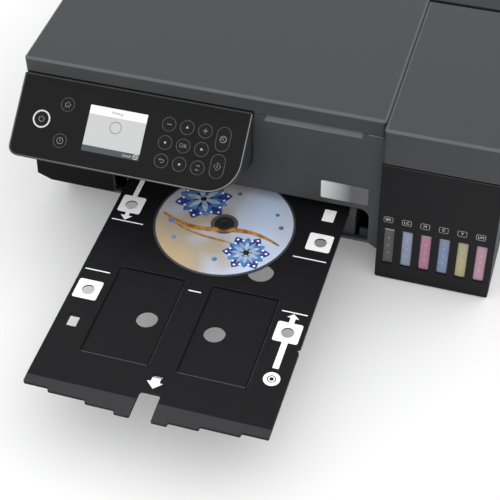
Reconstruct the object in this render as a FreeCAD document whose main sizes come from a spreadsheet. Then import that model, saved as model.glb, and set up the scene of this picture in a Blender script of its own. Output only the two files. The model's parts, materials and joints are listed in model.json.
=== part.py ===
"""Disc label printer: parametric assembly of separate pieces, in millimetres.

Frame: +Z up, the front faces -Y, the origin is on the desk under the middle of the whole printer with
its disc tray run out. Every driving dimension is a cell of the sheet; places are expressions of them.
"""
import FreeCAD, Part

import math
import os
import re

import Sketcher
from FreeCAD import Placement, Rotation, Vector

doc = FreeCAD.newDocument("disc_label_printer")

# ---------------------------------------------------------------- driving dimensions
DIMENSIONS = {
    # whole printer
    "body_wide": 410.4,
    "body_deep": 369,
    "body_tall": 166.5,
    "foot_tall": 3.9,
    "foot_radius": 7,
    "foot_inset": 22,
    "wall": 2.5,
    "seam": 0.4,
    "running_gap": 0.05,
    "slip_gap": 0.3,
    # outline of the main case
    "side_lean": 5.5,
    "chin_drop": 2.6,
    "chin_step": 12.8,
    "chin_rise": 5.6,
    "undercut_deep": 25,
    "base_rise": 13.5,
    "cover_tall": 16.5,
    "front_thick": 3,
    # tank block
    "pod_wide": 97.7,
    "tank_proud": 9.9,
    "tank_cover_tall": 35.2,
    "tank_lid_deep": 176,
    "window_first": 10,
    "window_pitch": 15.5,
    "window_wide": 8.8,
    "window_low": 18.5,
    "window_high": 60.2,
    "tank_long": 110,
    "tank_floor": 14,
    "tank_room": 10.3,
    "tank_wall": 1.2,
    "tank_part": 0.6,
    "neck_radius": 5.4,
    "neck_bore": 3.8,
    "neck_tall": 6,
    "cap_radius": 6.6,
    "cap_tall": 8,
    "cap_plug": 5,
    # lids
    "lid_plate": 2.4,
    "lid_edge": 1.8,
    "lid_corner": 3,
    "lid_gap": 0.8,
    "cover_deep": 252,
    "lid_rear_gap": 1.6,
    "lid_heel": 4,
    "pin_radius": 1.5,
    "pin_back": 5,
    "pin_drop": 5.5,
    "ear_radius": 2.6,
    "ear_thick": 4,
    "beam_wide": 12,
    # disc slot
    "slot_left": 114,
    "slot_right": 115,
    "slot_margin": 9.3,
    "slot_sill": 25,
    "slot_drop": 82.7,
    "slot_round": 9,
    "guide_wide": 5.9,
    "guide_deep": 60,
    "guide_rise": 2.5,
    "guide_ledge": 8,
    "step_wide": 8,
    "step_tall": 10,
    # control panel
    "panel_left": 5.2,
    "panel_right": 203.2,
    "panel_tall": 70.4,
    "panel_tilt": 51.2,
    "panel_plate": 2.8,
    "panel_round_left": 8,
    "panel_round_right": 28,
    "panel_rim": 1.4,
    "face_thick": 1.6,
    "pin_depth": 8.4,
    "knuckle_radius": 5.5,
    "hood_inset": 1.4,
    "hood_inset_left": 5,
    "hood_tall": 66,
    "hood_wall": 2.2,
    "hood_over": 2,
    "panel_gap": 0.6,
    "bracket_thick": 1.6,
    "screen_left": 62.3,
    "screen_top": 17.2,
    "screen_wide": 50.6,
    "screen_tall": 38.9,
    "key_radius": 6.1,
    "power_radius": 7.8,
    "oblong_half": 6.2,
    "oblong_flat": 0.25,
    "oblong_tall": 20.6,
    "power_across": 23.1,
    "power_down": 36.6,
    "side_across": 43,
    "side_down": 21,
    "side_drop": 30.7,
    "pad_across": 131.65,
    "pad_down": 21.5,
    "pad_pitch": 15.5,
    "pad_drop": 15.35,
    "oblong_across": 178.6,
    "stop_down": 25.6,
    "start_down": 48.1,
    "key_gap": 0.15,
    "key_deep": 4,
    "key_proud": 0.25,
    # badge
    "badge_right": 10.8,
    "badge_wide": 40.4,
    "badge_rise": 5.7,
    "badge_tall": 18.8,
    "badge_thick": 0.6,
    "badge_round": 1.2,
    # finger grip of the front cover
    "grip_left": 7,
    "grip_right": 16.1,
    "grip_tall": 5.3,
    "grip_deep": 4,
    "grip_back": 5,
    # disc tray
    "tray_reach": 237.6,
    "tray_drop": 10.8,
    "tray_long": 347,
    "tray_wide": 193.5,
    "tray_thick": 3.4,
    "disc_from_nose": 209.8,
    "nose_half": 9,
    "nose_step": 3,
    "step_one": 12,
    "step_two": 24,
    "step_three": 31,
    "notch_half": 8.5,
    "notch_deep": 25.3,
    "bevel_long": 16.5,
    "bevel_drop": 1.6,
    "disc_radius": 60,
    "disc_thick": 1.2,
    "disc_bore": 7.5,
    "disc_room": 0.6,
    "hub_gap": 0.08,
    "hub_rise": 1,
    "card_wide": 55.5,
    "card_long": 86.5,
    "card_low": 48.8,
    "card_apart": 23,
    "card_shift": 0.9,
    "card_deep": 0.9,
    "card_lead": 5,
    "lead_deep": 0.45,
    "finger_radius": 8.7,
    "finger_across": 27.9,
    "finger_from_nose": 93.5,
    "thumb_radius": 10.8,
    "thumb_across": 44.6,
    "thumb_ahead": 44.2,
    "sensor_radius": 5.1,
    "sensor_web": 1.2,
    "nose_round": 1.2,
    "sensor_across": 83,
    "sensor_apart": 101,
    "nick_from_nose": 92,
    "nick_long": 6,
    "nick_deep": 2.2,
    "catch_across": 82.9,
    "catch_ahead": 133.85,
    "catch_wide": 9.2,
    "catch_long": 12.3,
    "mark_across": 0.4,
    "mark_ahead": 168.75,
    "mark_wide": 8.2,
    "mark_long": 3.9,
    # paper path and mechanism
    "out_tray_wide": 176,
    "out_tray_long": 205,
    "out_tray_thick": 3,
    "out_tray_drop": 23.5,
    "rail_inset": 15.5,
    "print_line": 115.8,
    "head_gap": 1.9,
    "head_tall": 30,
    "head_wide": 52,
    "head_long": 30,
    "platen_wide": 36,
    "platen_thick": 5,
    "platen_gap": 0.6,
    "roller_span": 32,
    "feed_radius": 7,
    "exit_radius": 5,
    "shaft_radius": 3,
    "sleeve_long": 14,
    "sleeve_pitch": 46.4,
    "post_thick": 4,
    "post_room": 15,
    "rod_radius": 4,
    "rod_rise": 25.5,
    "rod_back": 40,
    "carriage_wide": 70,
    "carriage_tall": 52,
    "carriage_ahead": 22,
    "carriage_behind": 11,
    "belt_back": 62,
    "belt_tall": 6,
    "belt_thick": 1.2,
    "belt_rise": 33.5,
    "pulley_radius": 7,
    "pulley_rim": 1.6,
    "motor_radius": 15,
    "motor_tall": 38,
    "motor_side": 33,
    "idler_side": 15,
    "spindle_radius": 1.5,
    "board_long": 110,
    "board_wide": 110,
    "board_thick": 1.6,
    "chip_wide": 18,
    "chip_tall": 1.6,
    "socket_wide": 14,
    "socket_tall": 6,
    "standoff_tall": 5,
    "supply_wide": 76,
    "supply_long": 130,
    "supply_tall": 60,
    "inlet_wide": 20,
    "inlet_tall": 12,
    "inlet_level": 34,
    "inlet_pin": 1.2,
    "inlet_pitch": 8.6,
    "ramp_wide": 226,
    "ramp_thick": 3.6,
    "ramp_drop": 5,
    "ramp_tall": 61,
    "ramp_run": 66,
    "fence_tall": 14,
    "fence_long": 62,
    "fence_thick": 3,
    "screw_radius": 1.5,
    "screw_head": 3,
    "screw_long": 8,
    "boss_radius": 5,
}

# levels that follow from those sizes
LEVELS = {
    "case_top": "(body_tall - cover_tall)",
    "tank_seam_level": "(body_tall - tank_cover_tall)",
    "tank_top": "(tank_seam_level - tank_room)",
    "slot_high": "(case_top - slot_drop)",
    "tray_level": "(slot_high - tray_drop)",
    "slot_low": "(tray_level - slot_sill)",
    "chin_level": "(slot_low - chin_drop)",
    "base_top": "(tray_level + base_rise)",
    "badge_low": "(slot_high + badge_rise)",
    "out_tray_level": "(tray_level - out_tray_drop)",
    "rod_level": "(tray_level + rod_rise)",
    "belt_level": "(tray_level + belt_rise)",
    "ramp_high": "(case_top - ramp_drop)",
    "ramp_low": "(case_top - ramp_drop - ramp_tall)",
}

sheet = doc.addObject("Spreadsheet::Sheet", "dims")
for row, (alias, value) in enumerate(DIMENSIONS.items(), start=1):
    sheet.set(f"A{row}", alias)
    sheet.set(f"B{row}", str(value))
    sheet.setAlias(f"B{row}", alias)
doc.recompute()

# ---------------------------------------------------------------- named places, as expressions
LEFT = "(-body_wide / 2)"
RIGHT = "(body_wide / 2)"
POD = "(body_wide / 2 - pod_wide)"
MAIN_RIGHT = "(body_wide / 2 - pod_wide - seam)"
TANK_FRONT = "((tray_reach - body_deep) / 2)"
FRONT = "((tray_reach - body_deep) / 2 + tank_proud)"
BACK = "((tray_reach + body_deep) / 2)"
NOSE = "(-(tray_reach + body_deep) / 2)"
TRAY_X = "(body_wide / 2 - pod_wide - seam - slot_margin - slot_right)"
DISC_Y = f"({NOSE} + disc_from_nose)"
TRAY_LOW = "(tray_level - tray_thick)"
FLOOR = "(foot_tall + wall)"
PRINT_Y = f"({FRONT} + print_line)"
PIN_Z = "(body_tall - pin_drop)"
COVER_BACK = f"({FRONT} + cover_deep)"
BEAM_BACK = f"({FRONT} + cover_deep + lid_rear_gap + beam_wide)"
TANK_LID_BACK = f"({TANK_FRONT} + tank_lid_deep)"
PANEL_TURN = "(90 - panel_tilt)"
HINGE_Z = "(case_top + panel_gap)"
SLOT_LEFT = f"({TRAY_X} - slot_left)"
SLOT_RIGHT = f"({TRAY_X} + slot_right)"

WORD = re.compile(r"\b[a-z][a-z_]*\b(?!\()")


def cell(found):
    """A named level written out, or the sheet's cell of a driving dimension."""
    name = found.group(0)
    return bound(LEVELS[name]) if name in LEVELS else f"dims.{name}"


def bound(text):
    """Expression text with every dimension written as a cell of the sheet."""
    return WORD.sub(cell, str(text))


def size(text):
    """Value of an expression, in millimetres or degrees."""
    return float(sheet.evalExpression(bound(text)))


def tie(thing, prop, text):
    """Bind one property of an object to an expression."""
    thing.setExpression(prop, bound(text))


def tie_place(thing, x=0, y=0, z=0):
    for axis, text in zip("xyz", (x, y, z)):
        tie(thing, f"Placement.Base.{axis}", text)


# ---------------------------------------------------------------- solids from primitives
AXES = {"x": Rotation(Vector(0, 1, 0), 90), "y": Rotation(Vector(1, 0, 0), -90), "z": Rotation()}


def block(x, y, z):
    """Box between (low, high) expressions along each axis."""
    box = doc.addObject("Part::Box", "block")
    for prop, (low, high) in zip(("Length", "Width", "Height"), (x, y, z)):
        tie(box, prop, f"({high}) - ({low})")
    tie_place(box, x[0], y[0], z[0])
    return box


def rod(axis, span, across, radius):
    """Cylinder along an axis over a (low, high) span; across holds its two other coordinates."""
    bar = doc.addObject("Part::Cylinder", "rod")
    tie(bar, "Radius", radius)
    tie(bar, "Height", f"({span[1]}) - ({span[0]})")
    bar.Placement = Placement(Vector(), AXES[axis])
    place = dict(zip([name for name in "xyz" if name != axis], across))
    place[axis] = span[0]
    tie_place(bar, place["x"], place["y"], place["z"])
    return bar


def prism(plane, span, corners):
    """Straight prism of a polygon: plane 'xz' runs along Y, 'yz' along X and 'xy' along Z."""
    sketch = doc.addObject("Sketcher::SketchObject", "profile")
    turns = {
        "xy": Rotation(),
        "xz": Rotation(Vector(1, 0, 0), 90),
        "yz": Rotation(Vector(1, 1, 1), 120),
    }
    ways = {"xy": Vector(0, 0, 1), "xz": Vector(0, 1, 0), "yz": Vector(1, 0, 0)}
    normals = {"xy": "z", "xz": "y", "yz": "x"}
    sketch.Placement = Placement(Vector(), turns[plane])
    tie(sketch, f"Placement.Base.{normals[plane]}", span[0])
    draw_polygon(sketch, corners)
    bar = doc.addObject("Part::Extrusion", "prism")
    bar.Base = sketch
    bar.DirMode = "Custom"
    bar.Dir = ways[plane]
    bar.Solid = True
    tie(bar, "LengthFwd", f"({span[1]}) - ({span[0]})")
    return bar


def join(shapes):
    whole = doc.addObject("Part::MultiFuse", "join")
    whole.Shapes = shapes
    whole.Refine = True
    return whole


def cut(base, tools):
    """Base with one or more tools taken away."""
    tool = tools[0] if len(tools) == 1 else join(tools)
    rest = doc.addObject("Part::Cut", "cut")
    rest.Base = base
    rest.Tool = tool
    rest.Refine = True
    return rest


def common(first, second):
    shared = doc.addObject("Part::Common", "common")
    shared.Base = first
    shared.Tool = second
    shared.Refine = True
    return shared


def edges_where(thing, test):
    """Numbers of the edges whose two end points pass the test."""
    doc.recompute()
    picked = []
    for number, edge in enumerate(thing.Shape.Edges, start=1):
        ends = [vertex.Point for vertex in edge.Vertexes]
        if ends and test(ends[0], ends[-1]):
            picked.append(number)
    return picked


def near(value, text):
    return abs(value - size(text)) < 0.01


def rounded(thing, radius, test):
    """Thing with the picked edges rounded."""
    soft = doc.addObject("Part::Fillet", "rounded")
    soft.Base = thing
    soft.Edges = [(number, size(radius), size(radius)) for number in edges_where(thing, test)]
    return soft


def bevelled(thing, depth, test):
    """Thing with the picked edges cut back."""
    soft = doc.addObject("Part::Chamfer", "bevelled")
    soft.Base = thing
    soft.Edges = [(number, size(depth), size(depth)) for number in edges_where(thing, test)]
    return soft


# ---------------------------------------------------------------- sketches and bodies
def draw_polygon(sketch, corners):
    """Closed polygon whose corners are dimensioned from the sketch's origin."""
    points = [Vector(size(x), size(y), 0) for x, y in corners]
    first = sketch.GeometryCount
    count = len(points)
    for index, point in enumerate(points):
        sketch.addGeometry(Part.LineSegment(point, points[(index + 1) % count]), False)
    for index in range(count):
        line = first + index
        after = first + (index + 1) % count
        sketch.addConstraint(Sketcher.Constraint("Coincident", line, 2, after, 1))
    for index, (x, y) in enumerate(corners):
        line = first + index
        for kind, text, value in (("DistanceX", x, points[index].x), ("DistanceY", y, points[index].y)):
            number = sketch.addConstraint(Sketcher.Constraint(kind, -1, 1, line, 1, value))
            sketch.setExpression(f"Constraints[{number}]", bound(text))


def draw_circle(sketch, x, y, radius):
    """Circle dimensioned from the sketch's origin."""
    circle = Part.Circle(Vector(size(x), size(y), 0), Vector(0, 0, 1), size(radius))
    number = sketch.addGeometry(circle, False)
    sizes = (("DistanceX", x), ("DistanceY", y))
    for kind, text in sizes:
        place = sketch.addConstraint(Sketcher.Constraint(kind, -1, 1, number, 3, size(text)))
        sketch.setExpression(f"Constraints[{place}]", bound(text))
    span = sketch.addConstraint(Sketcher.Constraint("Radius", number, size(radius)))
    sketch.setExpression(f"Constraints[{span}]", bound(radius))


def draw_round_box(sketch, x, y, radii):
    """Rectangle with rounded corners, from the low-low corner anticlockwise; a radius of 0 stays sharp."""
    lows = (size(x[0]), size(y[0]))
    highs = (size(x[1]), size(y[1]))
    rounds = [size(radius) for radius in radii]
    corners = [(lows[0], lows[1]), (highs[0], lows[1]), (highs[0], highs[1]), (lows[0], highs[1])]
    ways = [(1, 0), (0, 1), (-1, 0), (0, -1)]
    first = sketch.GeometryCount
    for side, (corner, way) in enumerate(zip(corners, ways)):
        after = (side + 1) % 4
        start = Vector(corner[0] + way[0] * rounds[side], corner[1] + way[1] * rounds[side], 0)
        goal = corners[after]
        end = Vector(goal[0] - way[0] * rounds[after], goal[1] - way[1] * rounds[after], 0)
        sketch.addGeometry(Part.LineSegment(start, end), False)
        sketch.addConstraint(Sketcher.Constraint("Vertical" if way[0] == 0 else "Horizontal", first + side))
    for side, radius in enumerate(rounds):
        before = (side - 1) % 4
        if radius == 0:
            sketch.addConstraint(Sketcher.Constraint("Coincident", first + before, 2, first + side, 1))
            continue
        way = ways[side]
        inward = ways[(side + 1) % 4]
        centre = Vector(
            corners[side][0] + (way[0] + inward[0]) * radius,
            corners[side][1] + (way[1] + inward[1]) * radius,
            0,
        )
        turn = math.pi + side * math.pi / 2
        arc = Part.ArcOfCircle(Part.Circle(centre, Vector(0, 0, 1), radius), turn, turn + math.pi / 2)
        number = sketch.addGeometry(arc, False)
        sketch.addConstraint(Sketcher.Constraint("Tangent", first + before, 2, number, 1))
        sketch.addConstraint(Sketcher.Constraint("Tangent", number, 2, first + side, 1))
        span = sketch.addConstraint(Sketcher.Constraint("Radius", number, radius))
        sketch.setExpression(f"Constraints[{span}]", bound(radii[side]))
    sides = (("DistanceY", 0, y[0]), ("DistanceX", 1, x[1]), ("DistanceY", 2, y[1]), ("DistanceX", 3, x[0]))
    for kind, side, text in sides:
        place = sketch.addConstraint(Sketcher.Constraint(kind, -1, 1, first + side, 1, size(text)))
        sketch.setExpression(f"Constraints[{place}]", bound(text))


FACING = {"up": 0, "front": 90}


class Solid:
    """A PartDesign body built up by pads, pockets and the like on its own XY plane.

    Facing "up" keeps the plane level; facing "front" stands it up, so that its Y is the printer's Z
    and its Z comes out of the printer's front.
    """

    def __init__(self, facing="up"):
        self.body = doc.addObject("PartDesign::Body", "body")
        self.body.Placement = Placement(Vector(), Rotation(Vector(1, 0, 0), FACING[facing]))
        self.plane = [part for part in self.body.Origin.OriginFeatures if part.Role == "XY_Plane"][0]

    def sketch(self, level, polygons, circles, boxes):
        drawing = self.body.newObject("Sketcher::SketchObject", "drawing")
        drawing.AttachmentSupport = (self.plane, "")
        drawing.MapMode = "FlatFace"
        tie(drawing, "AttachmentOffset.Base.z", level)
        for corners in polygons:
            draw_polygon(drawing, corners)
        for circle in circles:
            draw_circle(drawing, *circle)
        for box in boxes:
            draw_round_box(drawing, *box)
        return drawing

    def pad(self, span, polygons=(), circles=(), boxes=()):
        """Material between two levels."""
        feature = self.body.newObject("PartDesign::Pad", "pad")
        feature.Profile = self.sketch(span[0], polygons, circles, boxes)
        tie(feature, "Length", f"({span[1]}) - ({span[0]})")
        return self

    def pocket(self, span, polygons=(), circles=(), boxes=()):
        """Space between two levels, cut downwards from the higher one."""
        feature = self.body.newObject("PartDesign::Pocket", "pocket")
        feature.Profile = self.sketch(span[1], polygons, circles, boxes)
        tie(feature, "Length", f"({span[1]}) - ({span[0]})")
        return self

    def turn(self, kind, level, angle, back, boxes):
        """Material or space swept round the X direction at a level, away from the plane's front if back."""
        feature = self.body.newObject(f"PartDesign::{kind}", kind.lower())
        drawing = self.sketch(level, (), (), boxes)
        feature.Profile = drawing
        feature.ReferenceAxis = (drawing, ["H_Axis"])
        feature.Reversed = back
        tie(feature, "Angle", angle)
        return self

    def dress(self, kind, prop, amount, test):
        base = self.body.Tip
        names = [f"Edge{number}" for number in edges_where(base, test)]
        feature = self.body.newObject(f"PartDesign::{kind}", kind.lower())
        feature.Base = (base, names)
        tie(feature, prop, amount)
        return self

    def fillet(self, radius, test):
        return self.dress("Fillet", "Radius", radius, test)

    def chamfer(self, amount, test):
        return self.dress("Chamfer", "Size", amount, test)


def upright(low, high):
    """True for an edge that runs straight along Z."""
    return abs(low.x - high.x) < 0.01 and abs(low.y - high.y) < 0.01 and abs(low.z - high.z) > 0.01


def at_level(text):
    """Test for the edges that lie in one level plane."""
    def test(low, high):
        return near(low.z, text) and near(high.z, text)
    return test


NODES = []


def node(thing, label):
    """Registers a finished piece under its own label."""
    thing.Label = label
    NODES.append(thing)
    return thing


# ================================================================ main casing
CHIN_TOP = "(chin_level + chin_rise)"
CHIN_LEFT = f"({LEFT} + chin_step)"
LEAN = "side_lean / (case_top - chin_level - chin_rise)"
CASE_FRONT = f"({FRONT} + front_thick + seam)"
FEED_Y = f"({PRINT_Y} + roller_span)"
EXIT_Y = f"({PRINT_Y} - roller_span)"
FEED_Z = f"({TRAY_LOW} - slip_gap - feed_radius)"
EXIT_Z = f"({TRAY_LOW} - slip_gap - exit_radius)"
POST_LEFT = f"({TRAY_X} - tray_wide / 2 - post_room)"
POST_RIGHT = f"({TRAY_X} + tray_wide / 2 + post_room)"
BELT_Y = f"({PRINT_Y} + belt_back)"
MOTOR_X = f"({LEFT} + motor_side)"
IDLER_X = f"({MAIN_RIGHT} - idler_side)"
MOTOR_LOW = f"({FLOOR} + boss_radius)"


def flank(level):
    """X of the leaning left side at a level."""
    return f"({LEFT} + {LEAN} * ({level} - {CHIN_TOP}))"


def screw_places():
    """Centres of the screws that come up through the two floors."""
    main_x = (f"({CHIN_LEFT} + 2 * foot_inset)", f"({MAIN_RIGHT} - 2 * foot_inset)")
    deep = f"({BACK} - foot_inset)"
    front = f"({FRONT} + undercut_deep + foot_inset / 2 + wall)"
    return [(x, y) for x in main_x for y in (front, deep)]


def base_case():
    """Tub that carries everything: raised chin, screw bosses, roller posts, motor seat and idler pin."""
    outer_long = prism("yz", (f"{LEFT} - wall", MAIN_RIGHT), [
        (CASE_FRONT, "chin_level"), (f"{FRONT} + undercut_deep", "foot_tall"), (BACK, "foot_tall"),
        (BACK, "base_top"), (CASE_FRONT, "base_top")])
    outer_wide = prism("xz", (FRONT, f"{BACK} + wall"), [
        (CHIN_LEFT, "foot_tall"), (MAIN_RIGHT, "foot_tall"), (MAIN_RIGHT, "base_top"),
        (flank("base_top"), "base_top"), (LEFT, CHIN_TOP), (CHIN_LEFT, "chin_level")])
    inner_long = prism("yz", (f"{LEFT} - wall", MAIN_RIGHT), [
        (f"{CASE_FRONT} + wall", "chin_level + wall"), (f"{FRONT} + undercut_deep + wall", FLOOR),
        (f"{BACK} - wall", FLOOR), (f"{BACK} - wall", "base_top + wall"),
        (f"{CASE_FRONT} + wall", "base_top + wall")])
    inner_wide = prism("xz", (FRONT, f"{BACK} + wall"), [
        (f"{CHIN_LEFT} + wall", FLOOR), (f"{MAIN_RIGHT} - wall", FLOOR),
        (f"{MAIN_RIGHT} - wall", "base_top + wall"), (f"{flank('base_top')} + wall", "base_top + wall"),
        (f"{LEFT} + wall", CHIN_TOP), (f"{CHIN_LEFT} + wall", "chin_level + wall")])
    tub = cut(common(outer_long, outer_wide), [common(inner_long, inner_wide)])
    slot = block((SLOT_LEFT, f"{SLOT_RIGHT} - step_wide"), (FRONT, f"{FRONT} + undercut_deep"),
                 ("slot_low", "base_top + wall"))
    above_step = block((f"{SLOT_RIGHT} - step_wide - wall", SLOT_RIGHT), (FRONT, f"{FRONT} + undercut_deep"),
                       ("slot_low + step_tall", "base_top + wall"))
    shell = cut(tub, [slot, above_step])

    bosses = [rod("z", (FLOOR, "foot_tall + screw_long + wall"), place, "boss_radius")
              for place in screw_places()]
    holes = [rod("z", ("foot_tall - wall", "foot_tall + screw_long + seam"), place, "screw_radius + seam / 2")
             for place in screw_places()]
    posts = []
    for x in ((f"{POST_LEFT} - post_thick", POST_LEFT), (POST_RIGHT, f"{POST_RIGHT} + post_thick")):
        posts.append(block(x, (f"{EXIT_Y} - 2 * exit_radius", f"{FEED_Y} + 2 * feed_radius"),
                           (FLOOR, f"{TRAY_LOW} + wall")))
    shafts = [rod("x", (f"{POST_LEFT} - 2 * post_thick", f"{POST_RIGHT} + 2 * post_thick"), place,
                  "shaft_radius + running_gap") for place in ((EXIT_Y, EXIT_Z), (FEED_Y, FEED_Z))]
    seat = block((f"{MOTOR_X} - motor_radius", f"{MOTOR_X} + motor_radius"),
                 (f"{BELT_Y} - motor_radius", f"{BELT_Y} + motor_radius"), (FLOOR, MOTOR_LOW))
    idler_post = rod("z", (FLOOR, "belt_level - pulley_rim - slip_gap"), (IDLER_X, BELT_Y), "boss_radius")
    idler_pin = rod("z", (FLOOR, "belt_level + belt_tall + 3 * pulley_rim"), (IDLER_X, BELT_Y),
                    "spindle_radius")
    rail_y = (f"{FRONT} + undercut_deep + wall", f"{BOARD_FRONT} - boss_radius")
    rail_x = [f"{TRAY_X} + {way} * (out_tray_wide / 2 - rail_inset)" for way in (-1, 1)]
    rails = [block((f"{x} - wall", f"{x} + wall"), rail_y, (FLOOR, "out_tray_level - slip_gap"))
             for x in rail_x]
    standoffs = [rod("z", (FLOOR, f"{FLOOR} + standoff_tall"), (x, y), "boss_radius / 2")
                 for x in (f"{BOARD_LEFT} + boss_radius", f"{BOARD_LEFT} + board_long - boss_radius")
                 for y in (f"{BOARD_FRONT} + boss_radius", f"{BOARD_FRONT} + board_wide - boss_radius")]
    whole = join([shell, *bosses, *posts, seat, idler_post, idler_pin, *rails, *standoffs])
    return node(cut(whole, holes + shafts), "base_case")


BOARD_LEFT = f"({CHIN_LEFT} + wall + boss_radius)"
BOARD_FRONT = f"({BELT_Y} + motor_radius + boss_radius)"


def ear(x, back, top, wall_x):
    """Hinge ear: a foot from the wall below the lid, a stem and a round eye."""
    y = (f"{back} - pin_back - ear_radius", f"{back} - pin_back + ear_radius")
    foot = block(wall_x, y, (f"{top} - 4 * wall", top))
    stem = block(x, y, (f"{top} - 4 * wall", PIN_Z))
    eye = rod("x", x, (f"{back} - pin_back", PIN_Z), "ear_radius")
    return [foot, stem, eye]


def ears_of(span, back, top):
    """Both ears of a lid, each just inside one of its skirts."""
    inset = "(wall + slip_gap)"
    low, high = span
    left = (f"{low} + {inset}", f"{low} + {inset} + ear_thick")
    right = (f"{high} - {inset} - ear_thick", f"{high} - {inset}")
    return (ear(left, back, top, (f"{low} + wall / 2", left[1]))
            + ear(right, back, top, (right[0], f"{high} - wall / 2")))


def pins_of(span, back):
    """Both hinge pins of a lid, through skirt and ear."""
    low, high = span
    inset = "(wall + slip_gap)"
    place = (f"{back} - pin_back", PIN_Z)
    return [rod("x", (f"{low} + slip_gap", f"{low} + {inset} + ear_thick"), place, "pin_radius"),
            rod("x", (f"{high} - {inset} - ear_thick", f"{high} - slip_gap"), place, "pin_radius")]


COVER_LEFT = f"({LEFT} + side_lean + 2 * running_gap)"
COVER_SPAN = (COVER_LEFT, MAIN_RIGHT)
TANK_LID_SPAN = (POD, RIGHT)
RAMP_FOOT = f"({BACK} - wall / 2 - ramp_run)"
RAMP_TURN = "atan(ramp_tall / ramp_run)"


def main_case():
    """Ring of walls above the base with the cross beam, hinge ears, feed ramp and rod seats."""
    low = "(base_top + slip_gap)"
    outer = prism("xz", (CASE_FRONT, BACK), [
        (flank(low), low), (MAIN_RIGHT, low), (MAIN_RIGHT, "case_top"), (flank("case_top"), "case_top")])
    inner = prism("xz", (FRONT, f"{BACK} - wall"), [
        (f"{flank(low)} + wall", f"{low} - wall"), (f"{MAIN_RIGHT} - wall", f"{low} - wall"),
        (f"{MAIN_RIGHT} - wall", "case_top + wall"), (f"{flank('case_top')} + wall", "case_top + wall")])
    ring = cut(outer, [inner])
    beam = block((COVER_LEFT, MAIN_RIGHT), (f"{COVER_BACK} + lid_rear_gap", f"{BEAM_BACK} - lid_gap"),
                 ("case_top - wall", "body_tall"))
    sill = block((f"{COVER_LEFT} + wall + slip_gap", f"{MAIN_RIGHT} - wall - slip_gap"),
                 (f"{BACK} - wall", BACK), ("case_top - wall", f"{PIN_Z} - pin_back"))
    rod_seats = []
    for x in ((f"{flank('rod_level')} + wall / 2", f"{LEFT} + 4 * wall"),
              (f"{MAIN_RIGHT} - 2 * wall", f"{MAIN_RIGHT} - wall / 2")):
        rod_seats.append(rod("x", x, (f"{PRINT_Y} + rod_back", "rod_level"), "2 * rod_radius"))
    ramp = prism("yz", (f"{TRAY_X} - ramp_wide / 2", f"{TRAY_X} + ramp_wide / 2"), [
        (RAMP_FOOT, "ramp_low"), (f"{RAMP_FOOT} + ramp_run", "ramp_high"),
        (f"{RAMP_FOOT} + ramp_run", "ramp_high - ramp_thick"), (RAMP_FOOT, "ramp_low - ramp_thick")])
    ears = ears_of(COVER_SPAN, COVER_BACK, "case_top") + ears_of(COVER_SPAN, BACK, "case_top")
    pins = [rod("x", (f"{COVER_LEFT} - wall", f"{MAIN_RIGHT} + wall"), (f"{back} - pin_back", PIN_Z),
                "pin_radius + running_gap") for back in (COVER_BACK, BACK)]
    rod_bore = rod("x", (f"{flank('rod_level')} + wall", f"{MAIN_RIGHT} - wall"),
                   (f"{PRINT_Y} + rod_back", "rod_level"), "rod_radius")
    whole = join([ring, beam, sill, ramp, *rod_seats, *ears])
    return node(cut(whole, [*pins, rod_bore]), "main_case")


GRIP_X = (f"({LEFT} + panel_right + grip_left)", f"({MAIN_RIGHT} - grip_right)")


def front_cover():
    """Front face: rounded disc slot, panel opening, finger grip and the strip beside the tank block."""
    solid = Solid("front")
    tie(solid.body, "Placement.Base.y", FRONT)
    right_foot = f"({SLOT_RIGHT} + seam)"
    solid.pad(("-front_thick", 0), polygons=[[
        (CHIN_LEFT, "chin_level"), (right_foot, "chin_level"),
        (MAIN_RIGHT, "chin_level - chin_rise"), (MAIN_RIGHT, "case_top"),
        (flank("case_top"), "case_top"), (LEFT, CHIN_TOP)]])
    solid.pocket(("-front_thick", 0), boxes=[
        ((SLOT_LEFT, SLOT_RIGHT), ("slot_low", "slot_high"), (0, 0, "slot_round", "slot_round"))])
    solid.pad(("-front_thick - grip_back", "-front_thick"), boxes=[
        (GRIP_X, ("case_top - grip_tall - wall", "case_top"), (0, 0, 0, 0))])
    solid.pocket(("-front_thick", 0), boxes=[
        ((f"{HOOD_LEFT} - panel_gap", f"{HOOD_RIGHT} + panel_gap"),
         (f"{PIN_LEVEL} - hood_tall - panel_gap", "case_top + wall"),
         (f"{HOOD_ROUND_LEFT} + panel_gap", f"{HOOD_ROUND_RIGHT} + panel_gap", 0, 0))])
    notch = block((f"{PANEL_X[0]} - panel_gap", f"{PANEL_X[1]} + panel_gap"), (f"{FRONT} - wall", CASE_FRONT),
                  (f"{HINGE_Z} - panel_plate - wall", "case_top + wall"))
    grip = prism("yz", (f"{GRIP_X[0]} + wall", f"{GRIP_X[1]} - wall"), [
        (f"{FRONT} - wall", "case_top - grip_tall"), (FRONT, "case_top - grip_tall"),
        (f"{FRONT} + grip_deep", "case_top + seam"), (f"{FRONT} - wall", "case_top + seam")])
    brackets = [block(x, (f"{FRONT} + front_thick / 2", f"{PIN_Y} + 2 * pin_radius"),
                      (f"{PIN_LEVEL} - 2 * pin_radius", f"{PIN_LEVEL} + 2 * pin_radius"))
                for x in PANEL_BRACKETS]
    pin_bore = rod("x", (f"{HOOD_LEFT} - 2 * wall", f"{HOOD_RIGHT} + 2 * wall"), (PIN_Y, PIN_LEVEL),
                   "pin_radius + running_gap")
    whole = join([solid.body, *brackets])
    return node(cut(whole, [grip, notch, pin_bore]), "front_cover")


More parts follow.
